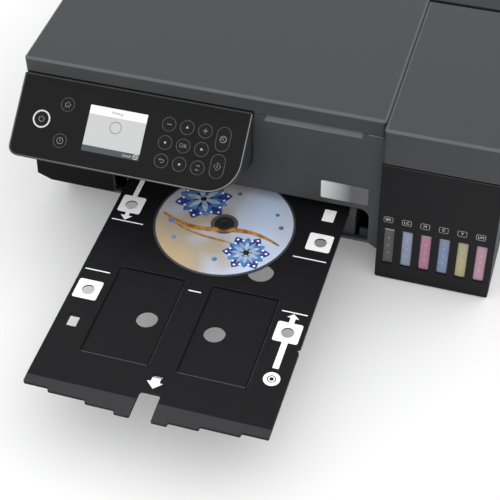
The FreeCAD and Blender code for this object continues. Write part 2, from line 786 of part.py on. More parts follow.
# panel places used by both the cover and the panel
PANEL_X = (f"({LEFT} + panel_left)", f"({LEFT} + panel_right)")
HOOD_LEFT = f"({LEFT} + panel_left + hood_inset_left)"
HOOD_RIGHT = f"({LEFT} + panel_right - hood_inset)"
HOOD_ROUND_LEFT = "(panel_round_left - hood_inset_left)"
HOOD_ROUND_RIGHT = "(panel_round_right - hood_inset)"
PIN_Y = f"({FRONT} + pin_depth * sin(90 - panel_tilt))"
PIN_LEVEL = f"({HINGE_Z} - pin_depth * cos(90 - panel_tilt))"
PANEL_BRACKETS = (
    (f"{HOOD_LEFT} - panel_gap - bracket_thick", f"{HOOD_LEFT} - panel_gap"),
    (f"{HOOD_RIGHT} + panel_gap", f"{HOOD_RIGHT} + panel_gap + bracket_thick"),
)


def badge_plate():
    """Plain bright plate on the front cover."""
    right = f"({MAIN_RIGHT} - badge_right)"
    solid = Solid("front")
    tie(solid.body, "Placement.Base.y", FRONT)
    round_all = ("badge_round",) * 4
    solid.pad((0, "badge_thick"), boxes=[
        ((f"{right} - badge_wide", right), ("badge_low", "badge_low + badge_tall"), round_all)])
    return node(solid.body, "badge_plate")


def lid(label, span, front, back, low):
    """Flat cover with three skirts, a soft top edge and two bored knuckles at its rear corners."""
    pin_y = f"({back} - pin_back)"
    outer = block(span, (front, back), (low, "body_tall"))
    inner = block((f"{span[0]} + wall", f"{span[1]} - wall"), (f"{front} + wall", f"{back} + wall"),
                  (f"{low} - wall", "body_tall - lid_plate"))
    corners = rounded(outer, "lid_corner", lambda a, b: upright(a, b) and near(a.y, front))
    soft = bevelled(corners, "lid_edge", lambda a, b: near(a.z, "body_tall") and near(b.z, "body_tall")
                    and not (near(a.y, back) and near(b.y, back)))
    wide = (f"{span[0]} - wall", f"{span[1]} + wall")
    heel = prism("yz", wide, [
        (f"{back} - lid_heel", f"{low} - wall"), (f"{back} + wall", f"{low} - wall"),
        (f"{back} + wall", f"{low} + lid_heel + wall"), (f"{back} - lid_heel", low)])
    brow = prism("yz", wide, [
        (f"{back} - pin_back / 2", "body_tall"), (f"{back} + wall", f"body_tall - pin_back / 2 - wall"),
        (f"{back} + wall", "body_tall + wall"), (f"{back} - pin_back / 2", "body_tall + wall")])
    bores = rod("x", wide, (pin_y, PIN_Z), "pin_radius + running_gap")
    return node(cut(soft, [inner, heel, brow, bores]), label)


def hinge_pins():
    """Short pins of the three lids and the control panel."""
    pins = pins_of(COVER_SPAN, COVER_BACK) + pins_of(COVER_SPAN, BACK)
    pins += pins_of(TANK_LID_SPAN, TANK_LID_BACK)
    reach = "4 * pin_radius"
    pins.append(rod("x", (PANEL_BRACKETS[0][0], f"{PANEL_BRACKETS[0][1]} + {reach}"),
                    (PIN_Y, PIN_LEVEL), "pin_radius"))
    pins.append(rod("x", (f"{PANEL_BRACKETS[1][0]} - {reach}", PANEL_BRACKETS[1][1]),
                    (PIN_Y, PIN_LEVEL), "pin_radius"))
    return grouped("hinge_pins", pins)


def grouped(label, pieces):
    """Several like solids under one label."""
    group = doc.addObject("Part::Compound", label)
    group.Links = pieces
    return node(group, label)


def rubber_feet():
    front = f"({FRONT} + undercut_deep + foot_inset)"
    deep = f"({BACK} - foot_inset)"
    xs = (f"({CHIN_LEFT} + foot_inset)", f"({RIGHT} - foot_inset)")
    feet = [rod("z", (0, "foot_tall"), (x, y), "foot_radius") for x in xs for y in (front, deep)]
    return grouped("rubber_feet", feet)


def case_screws():
    screws = []
    for place in screw_places():
        shank = rod("z", ("foot_tall", "foot_tall + screw_long"), place, "screw_radius")
        head = rod("z", ("foot_tall - wall / 2", "foot_tall"), place, "screw_head")
        screws.append(join([shank, head]))
    return grouped("case_screws", screws)


# ================================================================ tank block
TANK_Y = f"({TANK_FRONT} + front_thick + seam)"


def tank_place(number):
    """Centre X of one tank, window and filler."""
    return f"({POD} + window_first + window_pitch * {number})"


def tank_housing():
    """Side block: open in front for the tanks, decked over behind the tank lid."""
    outer = block((POD, RIGHT), (TANK_Y, BACK), ("foot_tall", "tank_seam_level"))
    deck_front = f"({TANK_LID_BACK} + lid_rear_gap)"
    rear = block((POD, RIGHT), (deck_front, BACK), ("tank_seam_level", "body_tall"))
    room = block((f"{POD} + wall", f"{RIGHT} - wall"), (f"{FRONT} - tank_proud", f"{BACK} - wall"),
                 (FLOOR, "body_tall - wall"))
    open_top = block((f"{POD} + wall", f"{RIGHT} - wall"), (TANK_FRONT, deck_front),
                     (FLOOR, "body_tall + wall"))
    shelf = block((f"{POD} + wall", f"{RIGHT} - wall"),
                  (TANK_Y, f"{TANK_Y} + tank_long + wall"), ("tank_floor - wall", "tank_floor - running_gap"))
    ears = ears_of(TANK_LID_SPAN, TANK_LID_BACK, "tank_seam_level")
    pins = rod("x", (f"{POD} - wall", f"{RIGHT} + wall"), (f"{TANK_LID_BACK} - pin_back", PIN_Z),
               "pin_radius + running_gap")
    inlet_half = "(inlet_wide / 2 + running_gap)"
    inlet_rise = "(inlet_tall / 2 + running_gap)"
    inlet = block((f"{INLET_X} - {inlet_half}", f"{INLET_X} + {inlet_half}"),
                  (f"{BACK} - 2 * wall", f"{BACK} + wall"),
                  (f"inlet_level - {inlet_rise}", f"inlet_level + {inlet_rise}"))
    shell = cut(join([outer, rear]), [room, open_top])
    edge = rounded(shell, "2 * wall", lambda a, b: upright(a, b) and near(a.x, RIGHT) and near(a.y, BACK))
    whole = join([edge, shelf, *ears])
    return node(cut(whole, [pins, inlet]), "tank_housing")


INLET_X = f"({RIGHT} - pod_wide / 2)"


def tank_front():
    """Dark bezel of the tank block with one window per tank."""
    solid = Solid("front")
    tie(solid.body, "Placement.Base.y", TANK_FRONT)
    solid.pad(("-front_thick", 0), boxes=[
        ((POD, RIGHT), ("foot_tall", "tank_seam_level"), ("wall", "wall", 0, 0))])
    windows = []
    for number in range(len(INKS)):
        x = tank_place(number)
        windows.append(((f"{x} - window_wide / 2", f"{x} + window_wide / 2"),
                        ("window_low", "window_high"), ("wall / 3",) * 4))
    solid.pocket(("-front_thick", 0), boxes=windows)
    solid.chamfer("wall / 4", at_level("0"))
    return node(solid.body, "tank_front")


INKS = ("black", "light_cyan", "magenta", "cyan", "yellow", "light_magenta")
NECK_BACK = "(tank_long - 3 * neck_radius)"


def ink_tank(ink, number):
    """Narrow closed tank with a filler neck."""
    x = tank_place(number)
    half = "(window_pitch - tank_part) / 2"
    solid = Solid()
    tie(solid.body, "Placement.Base.x", x)
    tie(solid.body, "Placement.Base.y", TANK_Y)
    outer = ((f"-{half}", half), (0, "tank_long"), ("tank_wall",) * 4)
    inner = ((f"tank_wall - {half}", f"{half} - tank_wall"), ("tank_wall", "tank_long - tank_wall"), (0,) * 4)
    solid.pad(("tank_floor", "tank_floor + tank_wall"), boxes=[outer])
    solid.pad(("tank_floor + tank_wall", "tank_top - tank_wall"), boxes=[outer, inner])
    solid.pad(("tank_top - tank_wall", "tank_top"), boxes=[outer])
    solid.pad(("tank_top", "tank_top + neck_tall"), circles=[(0, NECK_BACK, "neck_radius")])
    solid.pocket(("tank_top - tank_wall - neck_tall", "tank_top + neck_tall"),
                 circles=[(0, NECK_BACK, "neck_bore")])
    return node(solid.body, f"ink_tank_{ink}")


def filler_cap(ink, number):
    """Plug with a gripping head that sits on the filler neck."""
    solid = Solid()
    tie(solid.body, "Placement.Base.x", tank_place(number))
    tie(solid.body, "Placement.Base.y", f"{TANK_Y} + {NECK_BACK}")
    rim = "(tank_top + neck_tall + running_gap)"
    solid.pad((rim, f"{rim} + cap_tall"), circles=[(0, 0, "cap_radius")])
    solid.pad((f"{rim} - cap_plug", rim), circles=[(0, 0, "neck_bore - running_gap")])
    solid.fillet("wall / 4", at_level(f"{rim} + cap_tall"))
    return node(solid.body, f"filler_cap_{ink}")


# ================================================================ control panel
PANEL_ROUNDS = ("panel_round_left", "panel_round_right", "panel_rim", "panel_rim")
FACE_X = (f"({PANEL_X[0]} + panel_rim)", f"({PANEL_X[1]} - panel_rim)")
FACE_Y = ("(panel_rim - panel_tall)", "(-panel_rim)")
SCREEN_X = (f"({PANEL_X[0]} + screen_left)", f"({PANEL_X[0]} + screen_left + screen_wide)")
SCREEN_Y = ("(-screen_top - screen_tall)", "(-screen_top)")

PAD_KEYS = (
    ("minus_key", "up_key", "plus_key"),
    ("left_key", "ok_key", "right_key"),
    ("back_key", "down_key", "paper_key"),
)
# key: distance from the panel's left edge, distance below its top edge, radius
ROUND_KEYS = {
    "power_key": ("power_across", "power_down", "power_radius"),
    "home_key": ("side_across", "side_down", "key_radius"),
    "help_key": ("side_across", "(side_down + side_drop)", "key_radius"),
}
for pad_row, pad_names in enumerate(PAD_KEYS):
    for pad_column, pad_name in enumerate(pad_names):
        pad_x = f"(pad_across + {pad_column} * pad_pitch)"
        ROUND_KEYS[pad_name] = (pad_x, f"(pad_down + {pad_row} * pad_drop)", "key_radius")
OBLONG_KEYS = {
    "stop_key": ("oblong_across", "stop_down"),
    "start_key": ("oblong_across", "start_down"),
}


def on_panel():
    """Body whose plane is the tilted face of the control panel."""
    solid = Solid()
    solid.body.Placement = Placement(Vector(), Rotation(Vector(1, 0, 0), size(PANEL_TURN)))
    tie(solid.body, "Placement.Rotation.Angle", PANEL_TURN)
    tie_place(solid.body, 0, FRONT, HINGE_Z)
    return solid


def key_holes(extra):
    """Circles and round-ended boxes of all the keys, grown by an amount."""
    circles = [(f"{PANEL_X[0]} + {across}", f"-{down}", f"{radius} + {extra}")
               for across, down, radius in ROUND_KEYS.values()]
    boxes = [oblong(across, down, extra) for across, down in OBLONG_KEYS.values()]
    return circles, boxes


def oblong(across, down, extra):
    """Box with nearly full round ends for one tall key."""
    x = f"({PANEL_X[0]} + {across})"
    return ((f"{x} - oblong_half - {extra}", f"{x} + oblong_half + {extra}"),
            (f"-{down} - oblong_tall / 2 - {extra}", f"-{down} + oblong_tall / 2 + {extra}"),
            (f"oblong_half - oblong_flat + {extra}",) * 4)


def panel_housing():
    """Thin framed plate with a hollow hood behind it that is swept round the hinge line."""
    solid = on_panel()
    hood_y = ("-hood_tall", "-knuckle_radius / 2")
    hood = ((HOOD_LEFT, HOOD_RIGHT), hood_y, (HOOD_ROUND_LEFT, HOOD_ROUND_RIGHT, 0, 0))
    room = ((f"{HOOD_LEFT} + hood_wall", f"{HOOD_RIGHT} - hood_wall"),
            ("hood_wall - hood_tall", "-knuckle_radius - hood_wall / 2"),
            (f"{HOOD_ROUND_LEFT} - hood_wall / 2", f"{HOOD_ROUND_RIGHT} - hood_wall", 0, 0))
    solid.pad(("-panel_plate", 0), boxes=[(PANEL_X, ("-panel_tall", 0), PANEL_ROUNDS)])
    solid.pad(("-pin_depth", "-panel_plate"), boxes=[hood])
    solid.turn("Revolution", "-pin_depth", "panel_tilt + hood_over", False, [hood])
    solid.turn("Revolution", "-pin_depth", "360", False, [
        ((HOOD_LEFT, HOOD_RIGHT), ("-knuckle_radius", 0), (0, 0, 0, 0))])
    solid.pocket(("-pin_depth", "-panel_plate"), boxes=[room])
    solid.turn("Groove", "-pin_depth", "panel_tilt + 4 * hood_over", False, [room])
    solid.turn("Groove", "-pin_depth", "360", False, [
        ((f"{HOOD_LEFT} - wall", f"{HOOD_RIGHT} + wall"), ("-pin_radius - running_gap", 0), (0, 0, 0, 0))])
    solid.pocket(("-face_thick", 0), boxes=[
        ((f"{FACE_X[0]} - running_gap", f"{FACE_X[1]} + running_gap"),
         (f"{FACE_Y[0]} - running_gap", f"{FACE_Y[1]} + running_gap"),
         ("panel_round_left - panel_rim", "panel_round_right - panel_rim", 0, 0))])
    circles, boxes = key_holes("key_gap")
    solid.pocket(("-panel_plate - wall", "-face_thick"), circles=circles, boxes=boxes)
    return node(solid.body, "panel_housing")


def panel_face():
    """Dark front sheet with openings for the keys and the screen."""
    solid = on_panel()
    solid.pad(("-face_thick", 0), boxes=[
        (FACE_X, FACE_Y, ("panel_round_left - panel_rim", "panel_round_right - panel_rim", 0, 0))])
    circles, boxes = key_holes("key_gap")
    screen = ((f"{SCREEN_X[0]} - running_gap", f"{SCREEN_X[1]} + running_gap"),
              (f"{SCREEN_Y[0]} - running_gap", f"{SCREEN_Y[1]} + running_gap"), (0, 0, 0, 0))
    solid.pocket(("-face_thick", 0), circles=circles, boxes=[*boxes, screen])
    return node(solid.body, "panel_face")


def panel_screen():
    solid = on_panel()
    solid.pad(("-face_thick", "-key_gap"), boxes=[(SCREEN_X, SCREEN_Y, (0, 0, 0, 0))])
    return node(solid.body, "panel_screen")


def key(label, across, down, radius=None):
    """Key with a retaining flange behind the panel's plate; without a radius it is an oblong one."""
    solid = on_panel()
    flange = ("-key_deep", "-panel_plate - slip_gap")
    crown = ("-panel_plate - slip_gap", "key_proud")
    if radius is None:
        solid.pad(flange, boxes=[oblong(across, down, "key_gap * 4")])
        solid.pad(crown, boxes=[oblong(across, down, "0")])
    else:
        centre = (f"{PANEL_X[0]} + {across}", f"-{down}")
        solid.pad(flange, circles=[(*centre, f"{radius} + key_gap * 4")])
        solid.pad(crown, circles=[(*centre, radius)])
    return node(solid.body, label)


# ================================================================ disc tray
def nose_outline():
    """Tray outline with its stepped nose, centre notch and the catch nick in its right edge."""
    half = "tray_wide / 2"
    levels = [f"-disc_from_nose + {count} * nose_step" for count in range(4)]
    steps = ["nose_half + step_one", "nose_half + step_one + step_two",
             "nose_half + step_one + step_two + step_three"]
    right = [("notch_half", f"{levels[0]} + notch_deep"), ("notch_half", levels[0])]
    for count, x in enumerate(steps):
        right += [(x, levels[count]), (x, levels[count + 1])]
    right.append((half, levels[3]))
    rear = (half, "tray_long - disc_from_nose")
    left = [(f"-({x})", y) for x, y in reversed([*right, rear])]
    nick_low = "(nick_from_nose - disc_from_nose)"
    nick_foot = f"{half} - nick_deep"
    nick = [(half, nick_low), (nick_foot, f"{nick_low} + nick_deep"),
            (nick_foot, f"{nick_low} + nick_long - nick_deep"), (half, f"{nick_low} + nick_long")]
    return [*right, *nick, rear, *left]


def centred(x, y, wide, long):
    """Sharp-cornered box round a centre."""
    return ((f"{x} - {wide} / 2", f"{x} + {wide} / 2"), (f"{y} - {long} / 2", f"{y} + {long} / 2"), (0,) * 4)


def disc_tray():
    """Thin tray with a disc seat, two card pockets, finger holes and a bevelled nose."""
    solid = Solid()
    tie_place(solid.body, TRAY_X, DISC_Y, "tray_level")
    solid.pad(("-tray_thick", 0), polygons=[nose_outline()])
    notch_end = "notch_deep - disc_from_nose"
    solid.fillet("nose_round", lambda a, b: upright(a, b) and a.y < size(notch_end) - 0.01)
    solid.fillet("2 * nose_round", lambda a, b: upright(a, b) and near(a.y, notch_end)
                 and near(abs(a.x), "notch_half"))
    solid.pocket(("-disc_thick", 0), circles=[(0, 0, "disc_radius + disc_room")])
    cards = []
    leads = []
    card_front = "(card_low - disc_from_nose)"
    for way in (-1, 1):
        centre = f"({way} * (card_apart + card_wide) / 2 + card_shift)"
        wide = (f"{centre} - card_wide / 2", f"{centre} + card_wide / 2")
        cards.append((wide, (card_front, f"{card_front} + card_long"), ("wall",) * 4))
        leads.append((wide, (card_front, f"{card_front} + card_long + card_lead"), ("wall",) * 4))
    solid.pocket(("-lead_deep", 0), boxes=leads)
    solid.pocket(("-card_deep", 0), boxes=cards)
    finger_y = "finger_from_nose - disc_from_nose"
    solid.pocket(("-tray_thick", 0), circles=[
        (f"{way} * finger_across + card_shift / 2", finger_y, "finger_radius") for way in (-1, 1)])
    solid.pocket(("-tray_thick", 0), circles=[("thumb_across", "-thumb_ahead", "thumb_radius")])
    sensors = [(f"{way} * sensor_across", f"seam - {row} * sensor_apart", "sensor_radius")
               for way in (-1, 1) for row in (0, 1)]
    solid.pocket(("-tray_thick", 0), circles=sensors)
    solid.pocket(("-tray_thick", "-sensor_web"), circles=[
        (across, ahead, "sensor_radius + wall") for across, ahead, _ in sensors])
    slots = [centred("-catch_across", "-catch_ahead", "catch_wide", "catch_long"),
             centred("mark_across", "-mark_ahead", "mark_wide", "mark_long")]
    solid.pocket(("-tray_thick", 0), boxes=slots)
    solid.pocket(("-tray_thick", 0), circles=[(0, 0, "disc_bore / 2 + wall")])
    ramp = prism("yz", (f"{TRAY_X} - tray_wide", f"{TRAY_X} + tray_wide"), [
        (f"{NOSE} - wall", "tray_level - bevel_drop - bevel_drop * wall / bevel_long"),
        (f"{NOSE} + bevel_long", "tray_level"), (f"{NOSE} + bevel_long", "tray_level + wall"),
        (f"{NOSE} - wall", "tray_level + wall")])
    return node(cut(solid.body, [ramp]), "disc_tray")


def disc_hub():
    """Spring hub that holds the disc by its bore."""
    solid = Solid()
    tie_place(solid.body, TRAY_X, DISC_Y, "tray_level")
    solid.pad(("-tray_thick + seam", "-disc_thick"), circles=[(0, 0, "disc_bore / 2 + wall - running_gap")])
    solid.pad(("-disc_thick", "hub_rise"), circles=[(0, 0, "disc_bore - hub_gap")])
    solid.pocket(("0", "hub_rise"), circles=[(0, 0, "disc_bore / 2")])
    return node(solid.body, "disc_hub")


def label_disc():
    solid = Solid()
    tie_place(solid.body, TRAY_X, DISC_Y, "tray_level")
    solid.pad(("-disc_thick + running_gap", "0"), circles=[(0, 0, "disc_radius"), (0, 0, "disc_bore")])
    return node(solid.body, "label_disc")


def tray_guides():
    """Blocks at both ends of the slot that lead the disc tray in, with a ledge under its edges."""
    guides = []
    deep = (f"{CASE_FRONT} - seam + slip_gap", f"{CASE_FRONT} + guide_deep")
    edge = "(tray_wide / 2 + slip_gap)"
    for way in (-1, 1):
        def across(low, high):
            ends = (f"{TRAY_X} + {way} * ({low})", f"{TRAY_X} + {way} * ({high})")
            return ends if way > 0 else ends[::-1]
        wall_block = block(across(edge, f"{edge} + guide_wide"), deep,
                           ("slot_low + running_gap", "tray_level + guide_rise"))
        slope = bevelled(wall_block, "2 * guide_rise", lambda a, b: near(a.y, deep[0]) and near(b.y, deep[0])
                         and near(a.z, "tray_level + guide_rise") and near(b.z, "tray_level + guide_rise"))
        ledge = block(across(f"{edge} - guide_ledge", edge), deep,
                      ("slot_low + running_gap", f"{TRAY_LOW} - slip_gap"))
        guides.append(join([slope, ledge]))
    return grouped("tray_guides", guides)


def output_tray():
    """Paper tray stowed under the disc tray, with a turned-up front stop."""
    solid = Solid()
    tie_place(solid.body, TRAY_X, f"{CASE_FRONT} - seam", "out_tray_level")
    half = "(out_tray_wide / 2)"
    solid.pad((0, "out_tray_thick"), boxes=[
        ((f"-{half}", half), (0, "out_tray_long"), (0, 0, "2 * wall", "2 * wall"))])
    solid.pad(("out_tray_thick", "2 * out_tray_thick"), boxes=[
        ((f"-{half} / 2", f"{half} / 2"), (0, "wall"), (0, 0, 0, 0))])
    return node(solid.body, "output_tray")


# ================================================================ printing mechanism
def platen():
    """Ribbed bed under the print line, on two legs."""
    half = "(platen_wide / 2)"
    x = (f"{POST_LEFT} + slip_gap", f"{POST_RIGHT} - slip_gap")
    top = f"({TRAY_LOW} - platen_gap)"
    plate = block(x, (f"{PRINT_Y} - {half}", f"{PRINT_Y} + {half}"), (f"{top} - platen_thick", top))
    legs = [block(span, (f"{PRINT_Y} - {half}", f"{PRINT_Y} + {half}"),
                  (f"{FLOOR} + running_gap", f"{top} - platen_thick"))
            for span in ((x[0], f"{x[0]} + wall"), (f"{x[1]} - wall", x[1]))]
    return node(join([plate, *legs]), "platen")


SLEEVES = 4


def roller(label, y, z, radius):
    """Steel shaft with rubber sleeves."""
    shaft = rod("x", (f"{POST_LEFT} - post_thick - wall", f"{POST_RIGHT} + post_thick + wall"), (y, z),
                "shaft_radius")
    sleeves = []
    for count in range(SLEEVES):
        middle = f"({TRAY_X} + {count - (SLEEVES - 1) / 2} * sleeve_pitch)"
        span = (f"{middle} - sleeve_long / 2", f"{middle} + sleeve_long / 2")
        sleeves.append(rod("x", span, (y, z), radius))
    return node(join([shaft, *sleeves]), label)


ROD_Y = f"({PRINT_Y} + rod_back)"
CARRIAGE_X = (f"({MAIN_RIGHT} - 3 * wall - carriage_wide)", f"({MAIN_RIGHT} - 3 * wall)")
CARRIAGE_LOW = "(tray_level + head_gap + 2 * wall)"


def guide_rod():
    bar = rod("x", (f"{flank('rod_level')} + wall + running_gap", f"{MAIN_RIGHT} - wall - running_gap"),
              (ROD_Y, "rod_level"), "rod_radius")
    return node(bar, "guide_rod")


def carriage():
    """Box that runs on the guide rod, with a pocket for the print head and a tab behind for the belt."""
    y = (f"{PRINT_Y} - carriage_ahead", f"{ROD_Y} + carriage_behind")
    box = block(CARRIAGE_X, y, (CARRIAGE_LOW, f"{CARRIAGE_LOW} + carriage_tall"))
    middle = f"(({CARRIAGE_X[0]} + {CARRIAGE_X[1]}) / 2)"
    gap = "running_gap"
    pocket = block((f"{middle} - head_wide / 2 - {gap}", f"{middle} + head_wide / 2 + {gap}"),
                   (f"{PRINT_Y} - head_long / 2 - {gap}", f"{PRINT_Y} + head_long / 2 + {gap}"),
                   (f"{CARRIAGE_LOW} - wall", f"tray_level + head_gap + head_tall + {gap}"))
    bore = rod("x", (f"{CARRIAGE_X[0]} - wall", f"{CARRIAGE_X[1]} + wall"), (ROD_Y, "rod_level"),
               "rod_radius + running_gap")
    tab = block((f"{middle} - 2 * wall", f"{middle} + 2 * wall"),
                (y[1], f"{BELT_Y} - pulley_radius - belt_thick - slip_gap"),
                ("belt_level", "belt_level + belt_tall"))
    soft = bevelled(box, "wall", at_level(f"{CARRIAGE_LOW} + carriage_tall"))
    return node(cut(join([soft, tab]), [pocket, bore]), "carriage")


def print_head():
    middle = f"(({CARRIAGE_X[0]} + {CARRIAGE_X[1]}) / 2)"
    low = "(tray_level + head_gap)"
    body = block((f"{middle} - head_wide / 2", f"{middle} + head_wide / 2"),
                 (f"{PRINT_Y} - head_long / 2", f"{PRINT_Y} + head_long / 2"),
                 (f"{low} + wall", f"{low} + head_tall"))
    nozzles = block((f"{middle} - head_wide / 3", f"{middle} + head_wide / 3"),
                    (f"{PRINT_Y} - head_long / 3", f"{PRINT_Y} + head_long / 3"), (low, f"{low} + wall"))
    return node(join([body, nozzles]), "print_head")


def loop(radius, span):
    """Solid with the outline of a belt loop round both pulleys."""
    bar = block((MOTOR_X, IDLER_X), (f"{BELT_Y} - {radius}", f"{BELT_Y} + {radius}"), span)
    ends = [rod("z", span, (x, BELT_Y), radius) for x in (MOTOR_X, IDLER_X)]
    return join([bar, *ends])


def carriage_belt():
    outer = loop("(pulley_radius + belt_thick)", ("belt_level", "belt_level + belt_tall"))
    inner = loop("(pulley_radius + running_gap)", ("belt_level - wall", "belt_level + belt_tall + wall"))
    return node(cut(outer, [inner]), "carriage_belt")


def pulley(label, x):
    """Flanged wheel that turns on an upright spindle."""
    solid = Solid()
    tie_place(solid.body, x, BELT_Y, "belt_level")
    rim = "(pulley_radius + belt_thick)"
    solid.pad(("-slip_gap", "belt_tall + slip_gap"), circles=[(0, 0, "pulley_radius")])
    for low in ("-pulley_rim - slip_gap", "belt_tall + slip_gap"):
        solid.pad((low, f"{low} + pulley_rim"), circles=[(0, 0, rim)])
    solid.pocket(("-wall * 2", "belt_tall + 2 * wall"), circles=[(0, 0, "spindle_radius + running_gap")])
    return node(solid.body, label)


def carriage_motor():
    can = rod("z", (MOTOR_LOW, f"{MOTOR_LOW} + motor_tall"), (MOTOR_X, BELT_Y), "motor_radius")
    neck = rod("z", (MOTOR_LOW, "belt_level - pulley_rim - 2 * slip_gap"), (MOTOR_X, BELT_Y), "boss_radius")
    spindle = rod("z", (MOTOR_LOW, "belt_level + belt_tall + 3 * pulley_rim"), (MOTOR_X, BELT_Y),
                  "spindle_radius")
    return node(join([can, neck, spindle]), "carriage_motor")


def paper_guide():
    """Upright fence that slides across the feed ramp."""
    fence = block((0, "fence_thick"), (0, "fence_long"), (0, "fence_tall"))
    fence.Placement = Placement(Vector(), Rotation(Vector(1, 0, 0), size(RAMP_TURN)))
    tie(fence, "Placement.Rotation.Angle", RAMP_TURN)
    tie_place(fence, f"{TRAY_X} - ramp_wide / 3",
              f"{RAMP_FOOT} + wall * cos({RAMP_TURN}) - slip_gap * sin({RAMP_TURN})",
              f"ramp_low + wall * sin({RAMP_TURN}) + slip_gap * cos({RAMP_TURN})")
    return node(fence, "paper_guide")


def main_board():
    """Circuit board with its larger chips and connectors."""
    low = f"({FLOOR} + standoff_tall)"
    top = f"({low} + board_thick)"
    plate = block((BOARD_LEFT, f"{BOARD_LEFT} + board_long"), (BOARD_FRONT, f"{BOARD_FRONT} + board_wide"),
                  (low, top))
    chips = []
    for x, y, wide, tall in (("board_long / 3", "board_wide / 3", "chip_wide", "chip_tall"),
                             ("2 * board_long / 3", "board_wide / 3", "chip_wide", "chip_tall"),
                             ("board_long / 2", "3 * board_wide / 4", "socket_wide", "socket_tall")):
        chips.append(block((f"{BOARD_LEFT} + {x} - {wide} / 2", f"{BOARD_LEFT} + {x} + {wide} / 2"),
                           (f"{BOARD_FRONT} + {y} - {wide} / 2", f"{BOARD_FRONT} + {y} + {wide} / 2"),
                           (top, f"{top} + {tall}")))
    return node(join([plate, *chips]), "main_board")


def power_unit():
    x = (f"{INLET_X} - supply_wide / 2", f"{INLET_X} + supply_wide / 2")
    y = (f"{BACK} - 10 * wall - supply_long", f"{BACK} - 10 * wall")
    box = block(x, y, (f"{FLOOR} + running_gap", f"{FLOOR} + supply_tall"))
    soft = bevelled(box, "wall", lambda a, b: upright(a, b))
    return node(soft, "power_unit")


def power_inlet():
    """Two-pin inlet socket let into the back of the side block."""
    x = (f"{INLET_X} - inlet_wide / 2", f"{INLET_X} + inlet_wide / 2")
    z = ("inlet_level - inlet_tall / 2", "inlet_level + inlet_tall / 2")
    shell = block(x, (f"{BACK} - 10 * wall + slip_gap", BACK), z)
    room = block((f"{x[0]} + wall", f"{x[1]} - wall"), (f"{BACK} - 5 * wall", f"{BACK} + wall"),
                 (f"{z[0]} + wall", f"{z[1]} - wall"))
    pins = [rod("y", (f"{BACK} - 6 * wall", f"{BACK} - wall"),
                (f"{INLET_X} + {way} * inlet_pitch / 2", "inlet_level"), "inlet_pin") for way in (-1, 1)]
    return node(join([cut(shell, [room]), *pins]), "power_inlet")


# ================================================================ assembly
base_case()
main_case()
front_cover()
badge_plate()
lid("printer_cover", COVER_SPAN, FRONT, COVER_BACK, "(case_top + lid_gap)")
lid("feeder_cover", COVER_SPAN, BEAM_BACK, BACK, "(case_top + lid_gap)")
lid("tank_lid", TANK_LID_SPAN, TANK_FRONT, TANK_LID_BACK, "(tank_seam_level + lid_gap)")
hinge_pins()
rubber_feet()
case_screws()
tank_housing()
tank_front()
for order, ink_name in enumerate(INKS):
    ink_tank(ink_name, order)
    filler_cap(ink_name, order)
panel_housing()
panel_face()
panel_screen()
for key_name, key_place in (ROUND_KEYS | OBLONG_KEYS).items():
    key(key_name, *key_place)
tray_guides()
output_tray()
disc_tray()
disc_hub()
label_disc()
platen()
roller("feed_roller", FEED_Y, FEED_Z, "feed_radius")
roller("exit_roller", EXIT_Y, EXIT_Z, "exit_radius")
guide_rod()
carriage()
print_head()
carriage_belt()
pulley("motor_pulley", MOTOR_X)
pulley("idler_pulley", IDLER_X)
carriage_motor()
paper_guide()
main_board()
power_unit()
power_inlet()

# ================================================================ checks and export
doc.recompute()
for thing in doc.Objects:
    if "Invalid" in thing.State or "Error" in thing.State:
        owners = [parent.Label for parent in thing.InList]
        raise RuntimeError(f"{thing.Name} of {owners} failed: {thing.State}")
for thing in NODES:
    if thing.Shape.isNull() or not thing.Shape.isValid():
        raise RuntimeError(f"{thing.Label} has no valid shape")

os.makedirs("parts", exist_ok=True)
for thing in NODES:
    thing.Shape.exportStep(f"parts/{thing.Label}.step")
print(f"{len(NODES)} pieces written")
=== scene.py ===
"""Disc label printer: finishes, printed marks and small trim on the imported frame, in metres.

Outlines of flat pieces are written in millimetres on the face that carries them and then placed.
"""
import json
from math import cos, pi, radians, sin

import bmesh
import bpy
from mathutils import Matrix, Vector


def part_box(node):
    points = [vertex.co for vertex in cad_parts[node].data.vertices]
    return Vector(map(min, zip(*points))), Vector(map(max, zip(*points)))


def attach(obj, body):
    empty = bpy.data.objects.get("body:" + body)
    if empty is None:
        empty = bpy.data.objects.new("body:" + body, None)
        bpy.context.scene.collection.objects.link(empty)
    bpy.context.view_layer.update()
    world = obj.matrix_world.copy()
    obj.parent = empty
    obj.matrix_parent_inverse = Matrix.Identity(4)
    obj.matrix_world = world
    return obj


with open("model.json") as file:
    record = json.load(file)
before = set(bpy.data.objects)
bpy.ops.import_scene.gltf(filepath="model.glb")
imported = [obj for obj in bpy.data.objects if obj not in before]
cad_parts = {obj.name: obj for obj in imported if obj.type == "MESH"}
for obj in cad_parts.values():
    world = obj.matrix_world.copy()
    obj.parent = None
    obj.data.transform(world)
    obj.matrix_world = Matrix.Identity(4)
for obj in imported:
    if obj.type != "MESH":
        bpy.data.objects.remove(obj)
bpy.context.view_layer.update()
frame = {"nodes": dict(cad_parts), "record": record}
nodes = frame["nodes"]
MM = 0.001


def in_scene(name, data):
    """New object of some data, in the scene."""
    made = bpy.data.objects.new(name, data)
    bpy.context.scene.collection.objects.link(made)
    return made


# ---------------------------------------------------------------- shader nodes
def ink(red, green, blue):
    """Linear colour of one given in 0 to 255 as a screen shows it."""
    def linear(value):
        value /= 255
        return value / 12.92 if value <= 0.04045 else ((value + 0.055) / 1.055) ** 2.4
    return (linear(red), linear(green), linear(blue), 1.0)


